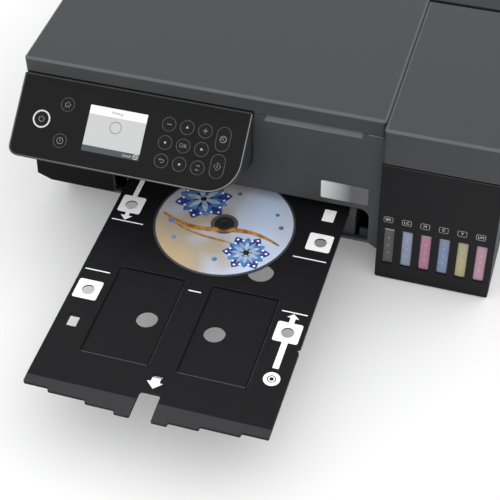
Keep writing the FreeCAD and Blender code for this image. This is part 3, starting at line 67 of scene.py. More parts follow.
def new_group(name, inputs, outputs):
    """Empty shader group; a socket is given as name, kind and value."""
    group = bpy.data.node_groups.new(name, "ShaderNodeTree")
    for label, kind, value in inputs:
        socket = group.interface.new_socket(label, in_out="INPUT", socket_type=kind)
        socket.default_value = value
    for label, kind in outputs:
        group.interface.new_socket(label, in_out="OUTPUT", socket_type=kind)
    return group, group.nodes.new("NodeGroupInput"), group.nodes.new("NodeGroupOutput")


def add(tree, kind, values=(), **settings):
    """Node of a kind with its settings and the values of its sockets."""
    new = tree.nodes.new(kind)
    for name, value in settings.items():
        setattr(new, name, value)
    for name, value in dict(values).items():
        new.inputs[name].default_value = value
    return new


def feed(tree, socket, value):
    """Link a socket to another one, or give it a plain value."""
    if isinstance(value, bpy.types.NodeSocket):
        tree.links.new(value, socket)
    else:
        socket.default_value = value


def maths(tree, operation, *values, **settings):
    """Result of one maths step on sockets or plain values."""
    node = add(tree, "ShaderNodeMath", operation=operation, **settings)
    for socket, value in zip(node.inputs, values):
        feed(tree, socket, value)
    return node.outputs[0]


# Numbers of the colour sockets of a mix.
MIX_SHARE, MIX_FIRST, MIX_SECOND, MIX_RESULT = 0, 6, 7, 2


def mixed(tree, first, second, share):
    """Colour mix whose three inputs are sockets or plain values."""
    mix = add(tree, "ShaderNodeMix", data_type="RGBA")
    for number, value in ((MIX_SHARE, share), (MIX_FIRST, first), (MIX_SECOND, second)):
        feed(tree, mix.inputs[number], value)
    return mix.outputs[MIX_RESULT]


def ranged(tree, value, low, high, to_low, to_high, **settings):
    """Socket's value carried from one range to another and held at its ends."""
    spread = add(tree, "ShaderNodeMapRange",
                 {"From Min": low, "From Max": high, "To Min": to_low, "To Max": to_high}, **settings)
    tree.links.new(value, spread.inputs["Value"])
    return spread.outputs["Result"]


def on_object(tree, *nodes_fed):
    """Give nodes the object's own coordinates; gives the coordinate node too."""
    where = add(tree, "ShaderNodeTexCoord")
    for fed in nodes_fed:
        tree.links.new(where.outputs["Object"], fed.inputs["Vector"])
    return where


# Low and high end of the values that a noise mostly takes.
NOISE = 0.3, 0.7
# Ranges that count as a rounded edge, as a face that slopes upwards and as one that isn't quite level, for
# the painted highlights.
EDGE_BEND, SLOPE_LEAN, LEVEL_LEAN = (0.99, 0.8), (0.25, 0.4), (0.9995, 0.995)
CLOUDY, DULLING = (0.25, 0.75), 0.06


def moulded_group():
    """Fine spark-eroded grain with cloudy shade, dulled patches, rounded edges, and painted highlights on
    those edges and on upward slopes.
    """
    floats, colours = "NodeSocketFloat", "NodeSocketColor"
    group, given, result = new_group("moulded_surface", [
        ("Colour", colours, (0.1, 0.1, 0.1, 1)), ("Edge Highlight Colour", colours, (0.2, 0.2, 0.2, 1)),
        ("Grain Scale", floats, 900.0), ("Shade Spread", floats, 0.1), ("Roughness", floats, 0.5),
        ("Edge Round", floats, 0.0006), ("Slope Highlight Colour", colours, (0.1, 0.1, 0.1, 1))],
        [("Colour", colours), ("Roughness", floats), ("Height", floats), ("Normal", "NodeSocketVector")])
    link = group.links.new
    grain = add(group, "ShaderNodeTexNoise", {"Detail": 3.0, "Roughness": 0.6})
    cells = add(group, "ShaderNodeTexVoronoi")
    clouds = add(group, "ShaderNodeTexNoise", {"Scale": 14.0, "Detail": 4.0})
    where = on_object(group, grain, cells, clouds)
    link(given.outputs["Grain Scale"], grain.inputs["Scale"])
    link(given.outputs["Grain Scale"], cells.inputs["Scale"])
    pits = ranged(group, cells.outputs["Distance"], 0, 1, 0, 0.5)
    link(maths(group, "ADD", grain.outputs["Fac"], pits), result.inputs["Height"])

    soft = add(group, "ShaderNodeBevel", samples=4)
    link(given.outputs["Edge Round"], soft.inputs["Radius"])
    link(soft.outputs["Normal"], result.inputs["Normal"])
    flat = add(group, "ShaderNodeNewGeometry")
    bend = add(group, "ShaderNodeVectorMath", operation="DOT_PRODUCT")
    link(soft.outputs["Normal"], bend.inputs[0])
    link(flat.outputs["Normal"], bend.inputs[1])
    # Painted highlights: a paler colour on rounded edges and on faces that slope upwards.
    edge_highlight = ranged(group, bend.outputs["Value"], *EDGE_BEND, 0, 1)
    lean = add(group, "ShaderNodeSeparateXYZ")
    link(where.outputs["Normal"], lean.inputs[0])
    slope = maths(group, "MULTIPLY", ranged(group, lean.outputs["Z"], *SLOPE_LEAN, 0, 1),
                  ranged(group, lean.outputs["Z"], *LEVEL_LEAN, 0, 1))

    shade = ranged(group, clouds.outputs["Fac"], *NOISE, -0.5, 0.5)
    speck = ranged(group, grain.outputs["Fac"], *NOISE, -0.5, 0.5)
    spots = maths(group, "ADD", shade, speck)
    share = maths(group, "MULTIPLY_ADD", spots, given.outputs["Shade Spread"], 1.0)
    tone = add(group, "ShaderNodeVectorMath", operation="SCALE")
    link(given.outputs["Colour"], tone.inputs[0])
    link(share, tone.inputs["Scale"])
    faces = mixed(group, tone.outputs[0], given.outputs["Slope Highlight Colour"], slope)
    link(mixed(group, faces, given.outputs["Edge Highlight Colour"], edge_highlight), result.inputs["Colour"])
    dull = ranged(group, clouds.outputs["Fac"], *CLOUDY, -DULLING, DULLING)
    rough = maths(group, "ADD", given.outputs["Roughness"], dull, use_clamp=True)
    link(rough, result.inputs["Roughness"])
    return group


MOULDED = moulded_group()


def new_material(name, settings=()):
    """Material with one Principled shader; gives its tree and shader too."""
    material = bpy.data.materials.new(name)
    material.use_nodes = True
    shader = material.node_tree.nodes["Principled BSDF"]
    for socket, value in dict(settings).items():
        shader.inputs[socket].default_value = value
    return material, material.node_tree, shader


def plastic(name, colour, rough, edge_highlight=1.5, grain=900.0, depth=0.04, spread=0.12, edge_round=0.0006,
            slope_highlight=1.0, **settings):
    """Moulded plastic with painted highlights; the two highlight factors say how many times paler rounded
    edges and upward slopes are painted.
    """
    material, tree, shader = new_material(name, settings)
    body = ink(*colour)
    grey = sum(body[:3]) / 3
    pale, slope_highlight_colour = (tuple(min(1.0, (value + grey) / 2 * times) for value in body[:3]) + (1.0,)
                     for times in (edge_highlight, slope_highlight))
    surface = add(tree, "ShaderNodeGroup", {
        "Colour": body, "Edge Highlight Colour": pale, "Slope Highlight Colour": slope_highlight_colour, "Grain Scale": grain,
        "Shade Spread": spread, "Roughness": rough, "Edge Round": edge_round}, node_tree=MOULDED)
    bump = add(tree, "ShaderNodeBump", {"Strength": depth, "Distance": 0.0002})
    tree.links.new(surface.outputs["Height"], bump.inputs["Height"])
    tree.links.new(surface.outputs["Normal"], bump.inputs["Normal"])
    tree.links.new(surface.outputs["Colour"], shader.inputs["Base Color"])
    tree.links.new(surface.outputs["Roughness"], shader.inputs["Roughness"])
    tree.links.new(bump.outputs["Normal"], shader.inputs["Normal"])
    return material


ALONG_STREAKS, ACROSS_STREAKS = 60.0, 2400.0


def brushed(name, colour, rough, along, **settings):
    """Metal with fine streaks along one direction."""
    material, tree, shader = new_material(name, settings)
    scale = [ALONG_STREAKS if axis == along else ACROSS_STREAKS for axis in "xyz"]
    stretch = add(tree, "ShaderNodeMapping", {"Scale": scale})
    streaks = add(tree, "ShaderNodeTexNoise", {"Scale": 1.0, "Detail": 2.0})
    on_object(tree, stretch)
    tree.links.new(stretch.outputs["Vector"], streaks.inputs["Vector"])
    body = ink(*colour)
    dark = tuple(value * 0.8 for value in body[:3]) + (1.0,)
    tree.links.new(mixed(tree, dark, body, streaks.outputs["Fac"]), shader.inputs["Base Color"])
    tree.links.new(ranged(tree, streaks.outputs["Fac"], *NOISE, rough - 0.08, rough + 0.08),
                   shader.inputs["Roughness"])
    return material


def sheen_fade(name, first, second, low, high, rough, **settings):
    """Satin finish with a painted sheen, its colour running from one at the left to another at the right."""
    material, tree, shader = new_material(name, settings)
    split = add(tree, "ShaderNodeSeparateXYZ")
    cloud = add(tree, "ShaderNodeTexNoise", {"Scale": 120.0, "Detail": 2.0})
    on_object(tree, split, cloud)
    share = ranged(tree, split.outputs["X"], low, high, 0, 1)
    tree.links.new(mixed(tree, ink(*first), ink(*second), share), shader.inputs["Base Color"])
    tree.links.new(ranged(tree, cloud.outputs["Fac"], *NOISE, rough - 0.05, rough + 0.05),
                   shader.inputs["Roughness"])
    return material


# ---------------------------------------------------------------- finishes
DARK = {"Specular IOR Level": 0.12}
GREY = {"Specular IOR Level": 0.3}
FINISHES = {
    "case_grey": plastic("case_moulding", (52, 53, 55), 0.55, edge_highlight=1.8, **GREY),
    "cover_grey": plastic("cover_moulding", (58, 60, 63), 0.52, edge_highlight=3.2, grain=700.0, depth=0.08,
                         edge_round=0.0012, slope_highlight=2.4, **GREY),
    "front_grey": plastic("front_moulding", (64, 65, 67), 0.5, edge_highlight=1.8, slope_highlight=2.4, **GREY),
    "tank_black": plastic("tank_bezel", (24, 24, 26), 0.4, edge_highlight=2.4, depth=0.03, **DARK),
    "tray_black": plastic("tray_moulding", (24, 24, 26), 0.5, edge_highlight=2.6, grain=1200.0, depth=0.05, slope_highlight=4.6,
                          **DARK),
    "panel_black": plastic("panel_sheet", (21, 21, 22), 0.36, edge_highlight=1.8, depth=0.015, spread=0.05, **DARK),
    "key_black": plastic("key_cap", (25, 25, 26), 0.36, edge_highlight=1.6, depth=0.015, spread=0.05, **DARK),
    "hub_black": plastic("hub_moulding", (42, 42, 43), 0.45, edge_highlight=1.8),
    "mechanism_black": plastic("inner_moulding", (44, 44, 46), 0.5, edge_highlight=1.6),
    "mechanism_white": plastic("acetal", (205, 203, 196), 0.42, edge_highlight=1.1),
    "rubber": plastic("rubber", (30, 30, 31), 0.8, edge_highlight=1.4, grain=1500.0, depth=0.1),
    "board_green": plastic("solder_mask", (22, 88, 52), 0.3, edge_highlight=1.3, depth=0.02),
    "steel": brushed("ground_steel", (190, 190, 192), 0.28, "x", Metallic=1.0),
    "supply_grey": brushed("plated_sheet", (150, 152, 155), 0.4, "y", Metallic=0.9),
    "disc_print": plastic("disc_edge", (46, 48, 52), 0.25, edge_highlight=1.5, depth=0.0, spread=0.03),
}


EDGE_OF_TONE, MATT_GLOSS = 0.001, 0.08


def shade_under_panel(material, other, right, top):
    """Paint shade into a plastic: a darker, duller colour left of a plane and below a level."""
    tree = material.node_tree
    surface = next(node for node in tree.nodes if node.type == "GROUP")
    split = add(tree, "ShaderNodeSeparateXYZ")
    on_object(tree, split)
    inside = [ranged(tree, split.outputs[axis], limit, limit - EDGE_OF_TONE, 0, 1)
              for axis, limit in (("X", right), ("Z", top))]
    share = maths(tree, "MULTIPLY", *inside)
    body = tuple(surface.inputs["Colour"].default_value)
    tree.links.new(mixed(tree, body, ink(*other), share), surface.inputs["Colour"])
    gloss = tree.nodes["Principled BSDF"].inputs["Specular IOR Level"]
    tree.links.new(ranged(tree, share, 0, 1, gloss.default_value, MATT_GLOSS), gloss)


SLOT_LEFT, SKIRT_TOP = -0.1312, 0.078
# Painted shade from the control panel's overhang: darker and duller front left of the slot, below the skirt's
# top.
shade_under_panel(FINISHES["front_grey"], (12, 12, 14), SLOT_LEFT, SKIRT_TOP)

# Colour of each ink's cap, then of its tank, from the left.
INKS = {
    "bk": ((60, 60, 61), (78, 78, 78)), "lc": ((110, 160, 215), (135, 146, 168)),
    "m": ((190, 60, 110), (170, 117, 138)), "c": ((60, 100, 190), (117, 132, 165)),
    "y": ((205, 185, 60), (166, 158, 122)), "lm": ((215, 130, 170), (174, 134, 150)),
}
# Nodes that are a little darker than the rest of their slot.
RETONED = {
    "base_case": plastic("base_moulding", (34, 35, 37), 0.58, edge_highlight=1.8, **GREY),
    "tank_housing": plastic("tank_moulding", (43, 44, 46), 0.58, edge_highlight=1.6, **GREY),
}
for code, (cap_colour, tank_colour) in INKS.items():
    FINISHES["cap_" + code] = plastic("cap_rubber_" + code, cap_colour, 0.6, edge_highlight=1.2)
    FINISHES["tank_" + code] = plastic("tank_wall_" + code, tank_colour, 0.25, edge_highlight=1.3, depth=0.02)


def printed(name, colour, rough=0.45, **settings):
    """Flat colour with a faint mottle, for print and for painted light and shade."""
    return plastic(name, colour, rough, edge_highlight=1.0, grain=1600.0, depth=0.01, spread=0.03, **settings)


# White print with a faint painted glow, though it is no lamp.
GLOWING_WHITE_PRINT = printed("white_print_glow", (254, 254, 254),
                      **{"Emission Color": (1, 1, 1, 1), "Emission Strength": 0.1})
# Pale ring drawn round each key's rim.
KEY_RING = printed("key_rim_ring", (112, 112, 112))
KEY_ICON = printed("key_icon_print", (186, 186, 186))
POWER_RING = printed("power_ring", (225, 225, 225))
LABEL_PRINT = printed("label_print", (206, 206, 206))
DOT_PRINT = printed("level_dot_print", (188, 190, 193))
AIR_GLINT_PRINT = printed("ink_air_print", (138, 138, 141), 0.3)
# Painted sheen on the panel's silver trim: darker at the left, paler towards the right.
TRIM_PALE_AT = -0.2, -0.03
TRIM_SILVER = sheen_fade("trim_silver", (92, 92, 94), (146, 146, 148), *TRIM_PALE_AT, 0.4, Metallic=0.4)

# Painted sheen on the badge: bright at its left, darker towards the right.
BADGE_FADE = 0.65
badge_low, badge_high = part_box("badge_plate")
FINISHES["badge_silver"] = sheen_fade("badge_sheen", (232, 232, 234), (100, 100, 103), badge_low[0],
                                 badge_low[0] + BADGE_FADE * (badge_high[0] - badge_low[0]), 0.35,
                                 Metallic=0.15)


def glowing(name, colour, strength=0.9):
    """Lit area of the display."""
    material, tree, shader = new_material(name, {"Base Color": (0.02, 0.02, 0.02, 1), "Roughness": 0.3,
                                                 "Emission Strength": strength})
    rows = add(tree, "ShaderNodeTexNoise", {"Scale": 2500.0, "Detail": 0.0})
    on_object(tree, rows)
    body = ink(*colour)
    dim = tuple(value * 0.94 for value in body[:3]) + (1.0,)
    tree.links.new(mixed(tree, dim, body, rows.outputs["Fac"]), shader.inputs["Emission Color"])
    return material


SCREEN_WHITE = glowing("screen_header", (252, 252, 252), 1.0)
SCREEN_PALE = glowing("screen_field", (214, 216, 216))
SCREEN_BAR = glowing("screen_bar", (58, 70, 75))
SCREEN_MARK = glowing("screen_mark", (92, 96, 98))
FINISHES["screen"] = plastic("screen_glass", (40, 46, 49), 0.12, edge_highlight=1.2, depth=0.0, spread=0.02)

for part in frame["record"]["subparts"]:
    mesh = nodes[part["node"]].data
    mesh.materials.clear()
    mesh.materials.append(RETONED.get(part["node"], FINISHES[part["material_slot"]]))


# ---------------------------------------------------------------- making flat pieces
def circle(x, y, radius, count=40, start=0.0, sweep=2 * pi):
    """Points of a circle, or of an arc with both its ends."""
    steps = count if sweep >= 2 * pi else count - 1
    return [(x + radius * cos(start + sweep * step / steps), y + radius * sin(start + sweep * step / steps))
            for step in range(count)]


def round_box(low_x, low_y, high_x, high_y, radii, count=8):
    """Rectangle with rounded corners, anticlockwise from the low corner; one radius or four."""
    if not isinstance(radii, (tuple, list)):
        radii = (radii,) * 4
    points = []
    corners = ((low_x, low_y, 1, 1), (high_x, low_y, -1, 1), (high_x, high_y, -1, -1), (low_x, high_y, 1, -1))
    for number, ((x, y, right, up), radius) in enumerate(zip(corners, radii)):
        centre = (x + right * radius, y + up * radius)
        start = pi + number * pi / 2
        points += circle(*centre, radius, count, start, pi / 2)
    return points


def curve_mesh(name, loops, closed=True, **settings):
    """Mesh of a curve with these loops, drawn flat."""
    curve = bpy.data.curves.new(name, "CURVE")
    for setting, value in settings.items():
        setattr(curve, setting, value)
    for loop in loops:
        spline = curve.splines.new("POLY")
        spline.points.add(len(loop) - 1)
        for point, (x, y) in zip(spline.points, loop):
            point.co = (x, y, 0, 1)
        spline.use_cyclic_u = closed
    return made_mesh(name, curve)


def made_mesh(name, data):
    """Mesh of a curve or text; the helper object goes."""
    helper = in_scene(name, data)
    bpy.context.view_layer.update()
    mesh = bpy.data.meshes.new_from_object(helper.evaluated_get(bpy.context.evaluated_depsgraph_get()))
    bpy.data.objects.remove(helper)
    return mesh


def plate(loops, thick=0.06):
    """Flat plate of these outlines, standing on its face; an outline inside another is a hole."""
    mesh = curve_mesh("plate", loops, dimensions="2D", fill_mode="BOTH", extrude=thick / 2)
    mesh.transform(Matrix.Translation((0, 0, thick / 2)))
    return mesh


def stroke(points, width, closed=False):
    """Drawn line: a flattened bead half let into its face."""
    mesh = curve_mesh("stroke", [points], closed, dimensions="3D", bevel_depth=width / 2, bevel_resolution=1,
                      use_fill_caps=True)
    mesh.transform(Matrix.Diagonal((1, 1, 0.2, 1)))
    return mesh


def lettering(text, size, x, y, thick=0.06, thin=0.0):
    """Plain raised letters centred on a point, drawn thinner by a length."""
    data = bpy.data.curves.new("lettering", "FONT")
    data.body = text
    data.size = size
    data.align_x = "CENTER"
    data.align_y = "CENTER"
    data.extrude = thick / 2
    data.offset = -thin
    mesh = made_mesh("lettering", data)
    mesh.transform(Matrix.Translation((x, y, thick / 2)))
    return mesh


def piece(name, meshes, material, place, body):
    """Make one object of several meshes drawn in millimetres on a face, carried by a body."""
    shape = bmesh.new()
    for mesh in meshes:
        shape.from_mesh(mesh)
        bpy.data.meshes.remove(mesh)
    bmesh.ops.transform(shape, matrix=place @ Matrix.Scale(MM, 4), verts=shape.verts)
    bmesh.ops.recalc_face_normals(shape, faces=shape.faces)
    data = bpy.data.meshes.new(name)
    shape.to_mesh(data)
    shape.free()
    data.materials.append(material)
    made = in_scene(name, data)
    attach(made, body)


def face_at(x, y, z, tilt=0.0):
    """Place of a face that leans from level towards the front by degrees."""
    return Matrix.Translation((x * MM, y * MM, z * MM)) @ Matrix.Rotation(radians(tilt), 4, "X")


# ---------------------------------------------------------------- control panel and front seams
FRONT = -55.8
FRONT_FACE = face_at(0, FRONT, 0, 90)
PANEL_FACE = face_at(0, FRONT, 150.6, 38.8)
PANEL_LEFT, PANEL_RIGHT, PANEL_TALL = -200.0, -2.0, 70.4
SMALL_CORNER, LARGE_CORNER = 8, 28
TRIM_IN, TRIM_WIDE, TRIM_TOP = 0.7, 0.7, -1.6
KEY_TOP = 0.25
ROUND_KEY, POWER_KEY = 6.1, 7.8

trim_path = [
    (PANEL_LEFT + TRIM_IN, TRIM_TOP),
    *circle(PANEL_LEFT + SMALL_CORNER, SMALL_CORNER - PANEL_TALL, SMALL_CORNER - TRIM_IN, 10, pi, pi / 2),
    *circle(PANEL_RIGHT - LARGE_CORNER, LARGE_CORNER - PANEL_TALL, LARGE_CORNER - TRIM_IN, 24,
            -pi / 2, pi / 2),
    (PANEL_RIGHT - TRIM_IN, TRIM_TOP)]
piece("panel_trim", [stroke(trim_path, TRIM_WIDE)], TRIM_SILVER, PANEL_FACE, "control_panel")

# Painted shade: a dark strip along the lower edge of the lid's front above the panel, standing for the shaded
# gap.
GAP_SHADE_LEFT, GAP_SHADE_RIGHT, GAP_SHADE_LOW, GAP_SHADE_HIGH = PANEL_LEFT + 2, PANEL_RIGHT + 1, 150.9, 152.6
gap_shade = plate([round_box(GAP_SHADE_LEFT, GAP_SHADE_LOW, GAP_SHADE_RIGHT, GAP_SHADE_HIGH, 0.05)], 0.05)
piece("lid_gap_shade", [gap_shade], printed("lid_gap_shade", (5, 5, 5), 0.8, **DARK), FRONT_FACE, "printer_cover")

# Painted highlight along the front cover's top edge, right of the grip.
EDGE_GLINT_LEFT, EDGE_GLINT_RIGHT, EDGE_GLINT_Z = 93.5, 104.8, 149.7
edge_glint = stroke([(EDGE_GLINT_LEFT, EDGE_GLINT_Z), (EDGE_GLINT_RIGHT, EDGE_GLINT_Z)], 0.5)
piece("front_edge_glint", [edge_glint], printed("edge_glint", (190, 190, 192)), FRONT_FACE, "frame")


def triangle(turn):
    """Filled arrow head pointing at an angle in degrees."""
    reach, half = 1.45, 1.15
    back = -reach * 0.45
    ends = ((reach, 0), (back, half), (back, -half))
    c, s = cos(radians(turn)), sin(radians(turn))
    return plate([[(x * c - y * s, x * s + y * c) for x, y in ends]])


LINE, BOLD_LINE = 0.42, 0.5

# Symbol of each key, in millimetres from the key's centre.
ICONS = {
    "power_key": lambda: [stroke(circle(0, 0, 2.3, 24, radians(125), radians(290)), BOLD_LINE),
                          stroke([(0, 0.7), (0, 2.9)], BOLD_LINE)],
    "home_key": lambda: [stroke([(-2.8, -0.1), (0, 2.5), (2.8, -0.1)], LINE),
                         stroke([(-1.9, 0.5), (-1.9, -2.2), (-0.7, -2.2), (-0.7, -0.7),
                                 (0.7, -0.7), (0.7, -2.2), (1.9, -2.2), (1.9, 0.5)], LINE)],
    "help_key": lambda: [stroke(circle(0, 0, 2.6), LINE, True), lettering("?", 4.0, 0, 0, thin=0.06)],
    "minus_key": lambda: [stroke([(-2.1, 0), (2.1, 0)], BOLD_LINE)],
    "plus_key": lambda: [stroke([(-2.1, 0), (2.1, 0)], BOLD_LINE), stroke([(0, -2.1), (0, 2.1)], BOLD_LINE)],
    "up_key": lambda: [triangle(90)],
    "down_key": lambda: [triangle(-90)],
    "left_key": lambda: [triangle(180)],
    "right_key": lambda: [triangle(0)],
    "ok_key": lambda: [lettering("OK", 4.7, 0, 0, thin=0.12)],
    "back_key": lambda: [stroke([(-2.0, 1.2), (1.0, 1.2), *circle(1.0, 0.0, 1.2, 8, pi / 2, -pi),
                                 (-0.6, -1.2)], LINE),
                         stroke([(-0.9, 2.2), (-2.1, 1.2), (-0.9, 0.2)], LINE)],
    "paper_key": lambda: [stroke([(-1.6, 1.7), (1.5, 1.7)], LINE),
                          stroke([(0.6, 2.5), (1.5, 1.7), (0.6, 0.9)], LINE),
                          stroke([(1.6, -1.7), (-1.5, -1.7)], LINE),
                          stroke([(-0.6, -2.5), (-1.5, -1.7), (-0.6, -0.9)], LINE)],
    "stop_key": lambda: [stroke(circle(0, 0, 2.7), LINE, True), stroke([(-1.7, 1.7), (1.7, -1.7)], LINE),
                         stroke([(-2.1, -1.1), (0.4, 1.9), (2.1, 1.1)], 0.35)],
    "start_key": lambda: [stroke([(0, 3.2), (3.0, 0), (0, -3.2), (-3.0, 0)], LINE, True),
                          stroke([(0, 1.2), (0, -1.2)], BOLD_LINE)],
}

# Places of the keys' centres: right of the panel's left edge and down from its top edge.
PAD_KEYS = (("minus_key", "up_key", "plus_key"), ("left_key", "ok_key", "right_key"),
            ("back_key", "down_key", "paper_key"))
KEY_PLACES = {"power_key": (23.1, 36.6), "home_key": (43.0, 21.0), "help_key": (43.0, 51.7),
              "stop_key": (178.6, 25.6), "start_key": (178.6, 48.1)}
PAD_ACROSS, PAD_DOWN = 131.65, 21.5
PAD_COLUMN, PAD_ROW = 15.5, 15.35
LONG_KEY_HALF, LONG_KEY_RISE, LONG_KEY_CORNER = 5.9, 10.0, 5.85
POWER_LINE, POWER_LINE_IN, ROUND_LINE_IN = 1.5, 0.85, 0.3
for row, names in enumerate(PAD_KEYS):
    for column, name in enumerate(names):
        KEY_PLACES[name] = (PAD_ACROSS + PAD_COLUMN * column, PAD_DOWN + PAD_ROW * row)

for name, (across, down) in KEY_PLACES.items():
    face = PANEL_FACE @ Matrix.Translation(((PANEL_LEFT + across) * MM, -down * MM, KEY_TOP * MM))
    if name == "power_key":
        ring, finish = stroke(circle(0, 0, POWER_KEY - POWER_LINE_IN, 64), POWER_LINE, True), POWER_RING
    elif name in ("stop_key", "start_key"):
        outline = round_box(-LONG_KEY_HALF, -LONG_KEY_RISE, LONG_KEY_HALF, LONG_KEY_RISE, LONG_KEY_CORNER, 14)
        ring, finish = stroke(outline, BOLD_LINE, True), KEY_RING
    else:
        ring, finish = stroke(circle(0, 0, ROUND_KEY - ROUND_LINE_IN, 48), BOLD_LINE, True), KEY_RING
    piece(name + "_ring", [ring], finish, face, name)
    piece(name + "_icon", ICONS[name](), KEY_ICON, face, name)

SCREEN_LEFT, SCREEN_RIGHT, SCREEN_TOP, SCREEN_LOW = -137.7, -87.1, 17.2, 56.1
SCREEN_INSET, SCREEN_SUNK = 0.35, -0.15
HEADER_LOW, BAR_TOP = 24.5, 50.9
SPINNER_DOWN, SPINNER_OUTER, SPINNER_INNER = 32.7, 5.1, 4.6
WORDS_Y, CANCEL_Y, CROSS_Y, CROSS_HALF, WORDS_THICK = -20.8, -53.6, -53.3, 0.7, 0.16
screen_face = PANEL_FACE @ Matrix.Translation((0, 0, SCREEN_SUNK * MM))
middle = (SCREEN_LEFT + SCREEN_RIGHT) / 2
cancel_at, cross_at = (SCREEN_LEFT + part * (SCREEN_RIGHT - SCREEN_LEFT) for part in (0.78, 0.93))


def screen_part(name, meshes, material):
    """Make a piece of the picture on the display."""
    piece(name, meshes, material, screen_face, "control_panel")


def screen_band(top, low):
    """Full-width band of the picture between two levels."""
    return round_box(SCREEN_LEFT + SCREEN_INSET, low, SCREEN_RIGHT - SCREEN_INSET, top, 0.05)


def spinner(radius):
    """Circle in the middle of the picture."""
    return circle(middle, -SPINNER_DOWN, radius, 48)


screen_part("screen_header", [plate([screen_band(SCREEN_INSET - SCREEN_TOP, -HEADER_LOW)])], SCREEN_WHITE)
screen_part("screen_field", [plate([screen_band(-HEADER_LOW, -BAR_TOP), spinner(SPINNER_OUTER)]),
                             plate([spinner(SPINNER_INNER)])], SCREEN_PALE)
screen_part("screen_bar", [plate([screen_band(-BAR_TOP, SCREEN_INSET - SCREEN_LOW)])], SCREEN_BAR)
screen_part("screen_spinner", [plate([spinner(SPINNER_OUTER), spinner(SPINNER_INNER)])], SCREEN_MARK)
screen_part("screen_words", [lettering("Printing...", 3.0, middle, WORDS_Y, WORDS_THICK)], SCREEN_MARK)
cross = [(cross_at - CROSS_HALF, CROSS_Y + CROSS_HALF), (cross_at + CROSS_HALF, CROSS_Y - CROSS_HALF)]
screen_part("screen_cancel", [lettering("Cancel", 2.7, cancel_at, CANCEL_Y, WORDS_THICK),
                              stroke(circle(cross_at, CROSS_Y, 1.9, 24), 1.0, True), stroke(cross, 0.9)],
            SCREEN_PALE)

# ---------------------------------------------------------------- marks printed on the disc tray
# X of the disc's centre in metres. Places on the tray are counted from that centre, with Y to the back.
DISC_X = -0.0172
TRAY_FACE = face_at(DISC_X / MM, -93.5, 56.5)
HOLE_EDGE, PAD_CORNER, BAR_HALF = 5.15, 1.8, 0.525


def bar(left, right, y):
    """Straight printed bar across the tray."""
    return plate([[(left, y - BAR_HALF), (right, y - BAR_HALF), (right, y + BAR_HALF), (left, y + BAR_HALF)]])


def pad_with(left, low, right, high, hole, extra_low=(), extra_high=()):
    """Rounded square with a sensor hole and points let into its low and high sides."""
    outline = round_box(left, low, right, high, PAD_CORNER, 6)
    quarter = len(outline) // 4
    outline = [*outline[:quarter], *extra_low, *outline[quarter:3 * quarter], *extra_high,
               *outline[3 * quarter:]]
    return plate([outline, circle(*hole, HOLE_EDGE, 40)])


TARGET = 83.6, -147.8
REAR_HOLES, FRONT_HOLES = 0.4, -100.6
marks = [
    # left side: pad with an arrow below and a line above, two bars and the front pad
    pad_with(-93, -9, -73, 11, (-83, REAR_HOLES),
             [(-84.6, -9), (-84.6, -12.6), (-88, -12.6), (-82.6, -17.9), (-77.6, -12.6), (-80.9, -12.6),
              (-80.9, -9)],
             [(-81.8, 11), (-81.8, 60), (-86.0, 60), (-86.0, 11)]),
    bar(-93.4, -65.6, -19.3), bar(-93.8, -72.6, -79),
    pad_with(-93.6, -110.5, -73.2, -90.2, (-83, FRONT_HOLES)),
    # middle: short bar, and the arrow towards the tray's nose
    bar(-5.4, 5.2, -79.2),
    plate([[(-3.4, -170.9), (-3.4, -174.4), (-6.5, -174.8), (0.3, -181.2), (6.4, -175.2),
            (3.6, -174.9), (3.6, -170.9)]]),
    # right side in front: bar, and pad with an arrow above and a line down to the target
    bar(72.5, 93.6, -79.5),
    pad_with(72.8, -110.6, 93.3, -90.3, (83, FRONT_HOLES),
             [(81.1, -110.6), (81.1, -137.3), (86.0, -137.3), (86.0, -110.6)],
             [(85.3, -90.3), (85.3, -85.4), (88.1, -85.4), (82.8, -80.8), (78.2, -84.9), (81.1, -84.9),
              (81.1, -90.3)]),
    plate([circle(*TARGET, 6.6, 48), circle(*TARGET, 3.5, 40)]),
    plate([circle(*TARGET, 2.7, 40), circle(*TARGET, 1.7, 32)]),
    # right side behind: plain square, pad and bar
    plate([round_box(77, 26, 87, 40, 0.4)]),
    pad_with(72, -9.6, 92.5, 10.3, (83, REAR_HOLES)),
    bar(65, 93, -20),
]

POCKET_LOW, POCKET_LONG, POCKET_LEAD = -161.0, 86.5, 5.0
POCKET_WIDE, POCKET_APART, POCKET_SHIFT = 55.5, 23.0, 0.9
RIM_SHORT = 1


def rim_across(left, right, y, wide):
    """Line on a pocket's front or rear rim that stops short of the corners."""
    return stroke([(left + RIM_SHORT, y), (right - RIM_SHORT, y)], wide)


def rim_along(x, low, high, wide):
    """Line on a pocket's left or right rim that stops short of the corners."""
    return stroke([(x, low + RIM_SHORT), (x, high - RIM_SHORT)], wide)


# Painted highlights on the pockets' pale rims, and painted shade on their dark sides.
rim_highlights, shades = [], []
for side in (-1, 1):
    right = side * (POCKET_APART + POCKET_WIDE) / 2 + POCKET_SHIFT + POCKET_WIDE / 2
    left = right - POCKET_WIDE
    rear = POCKET_LOW + POCKET_LONG + POCKET_LEAD
    rim_highlights += [rim_across(left, right, POCKET_LOW - 0.3, 0.8), rim_along(right + 0.3, POCKET_LOW, rear, 0.4),
             rim_across(left, right, rear + 0.7, 0.35)]
    shades += [rim_along(left - 0.3, POCKET_LOW, rear, 1.0), rim_along(right - 0.4, POCKET_LOW, rear, 1.0),
               rim_across(left, right, rear - 0.2, 1.5)]
piece("pocket_rim_highlights", rim_highlights, printed("rim_highlight", (84, 84, 87)), TRAY_FACE, "disc_tray")
piece("pocket_shades", shades, printed("shaded_lip", (4, 4, 5), 0.8, **DARK), TRAY_FACE, "disc_tray")
piece("tray_print", marks, GLOWING_WHITE_PRINT, TRAY_FACE, "disc_tray")

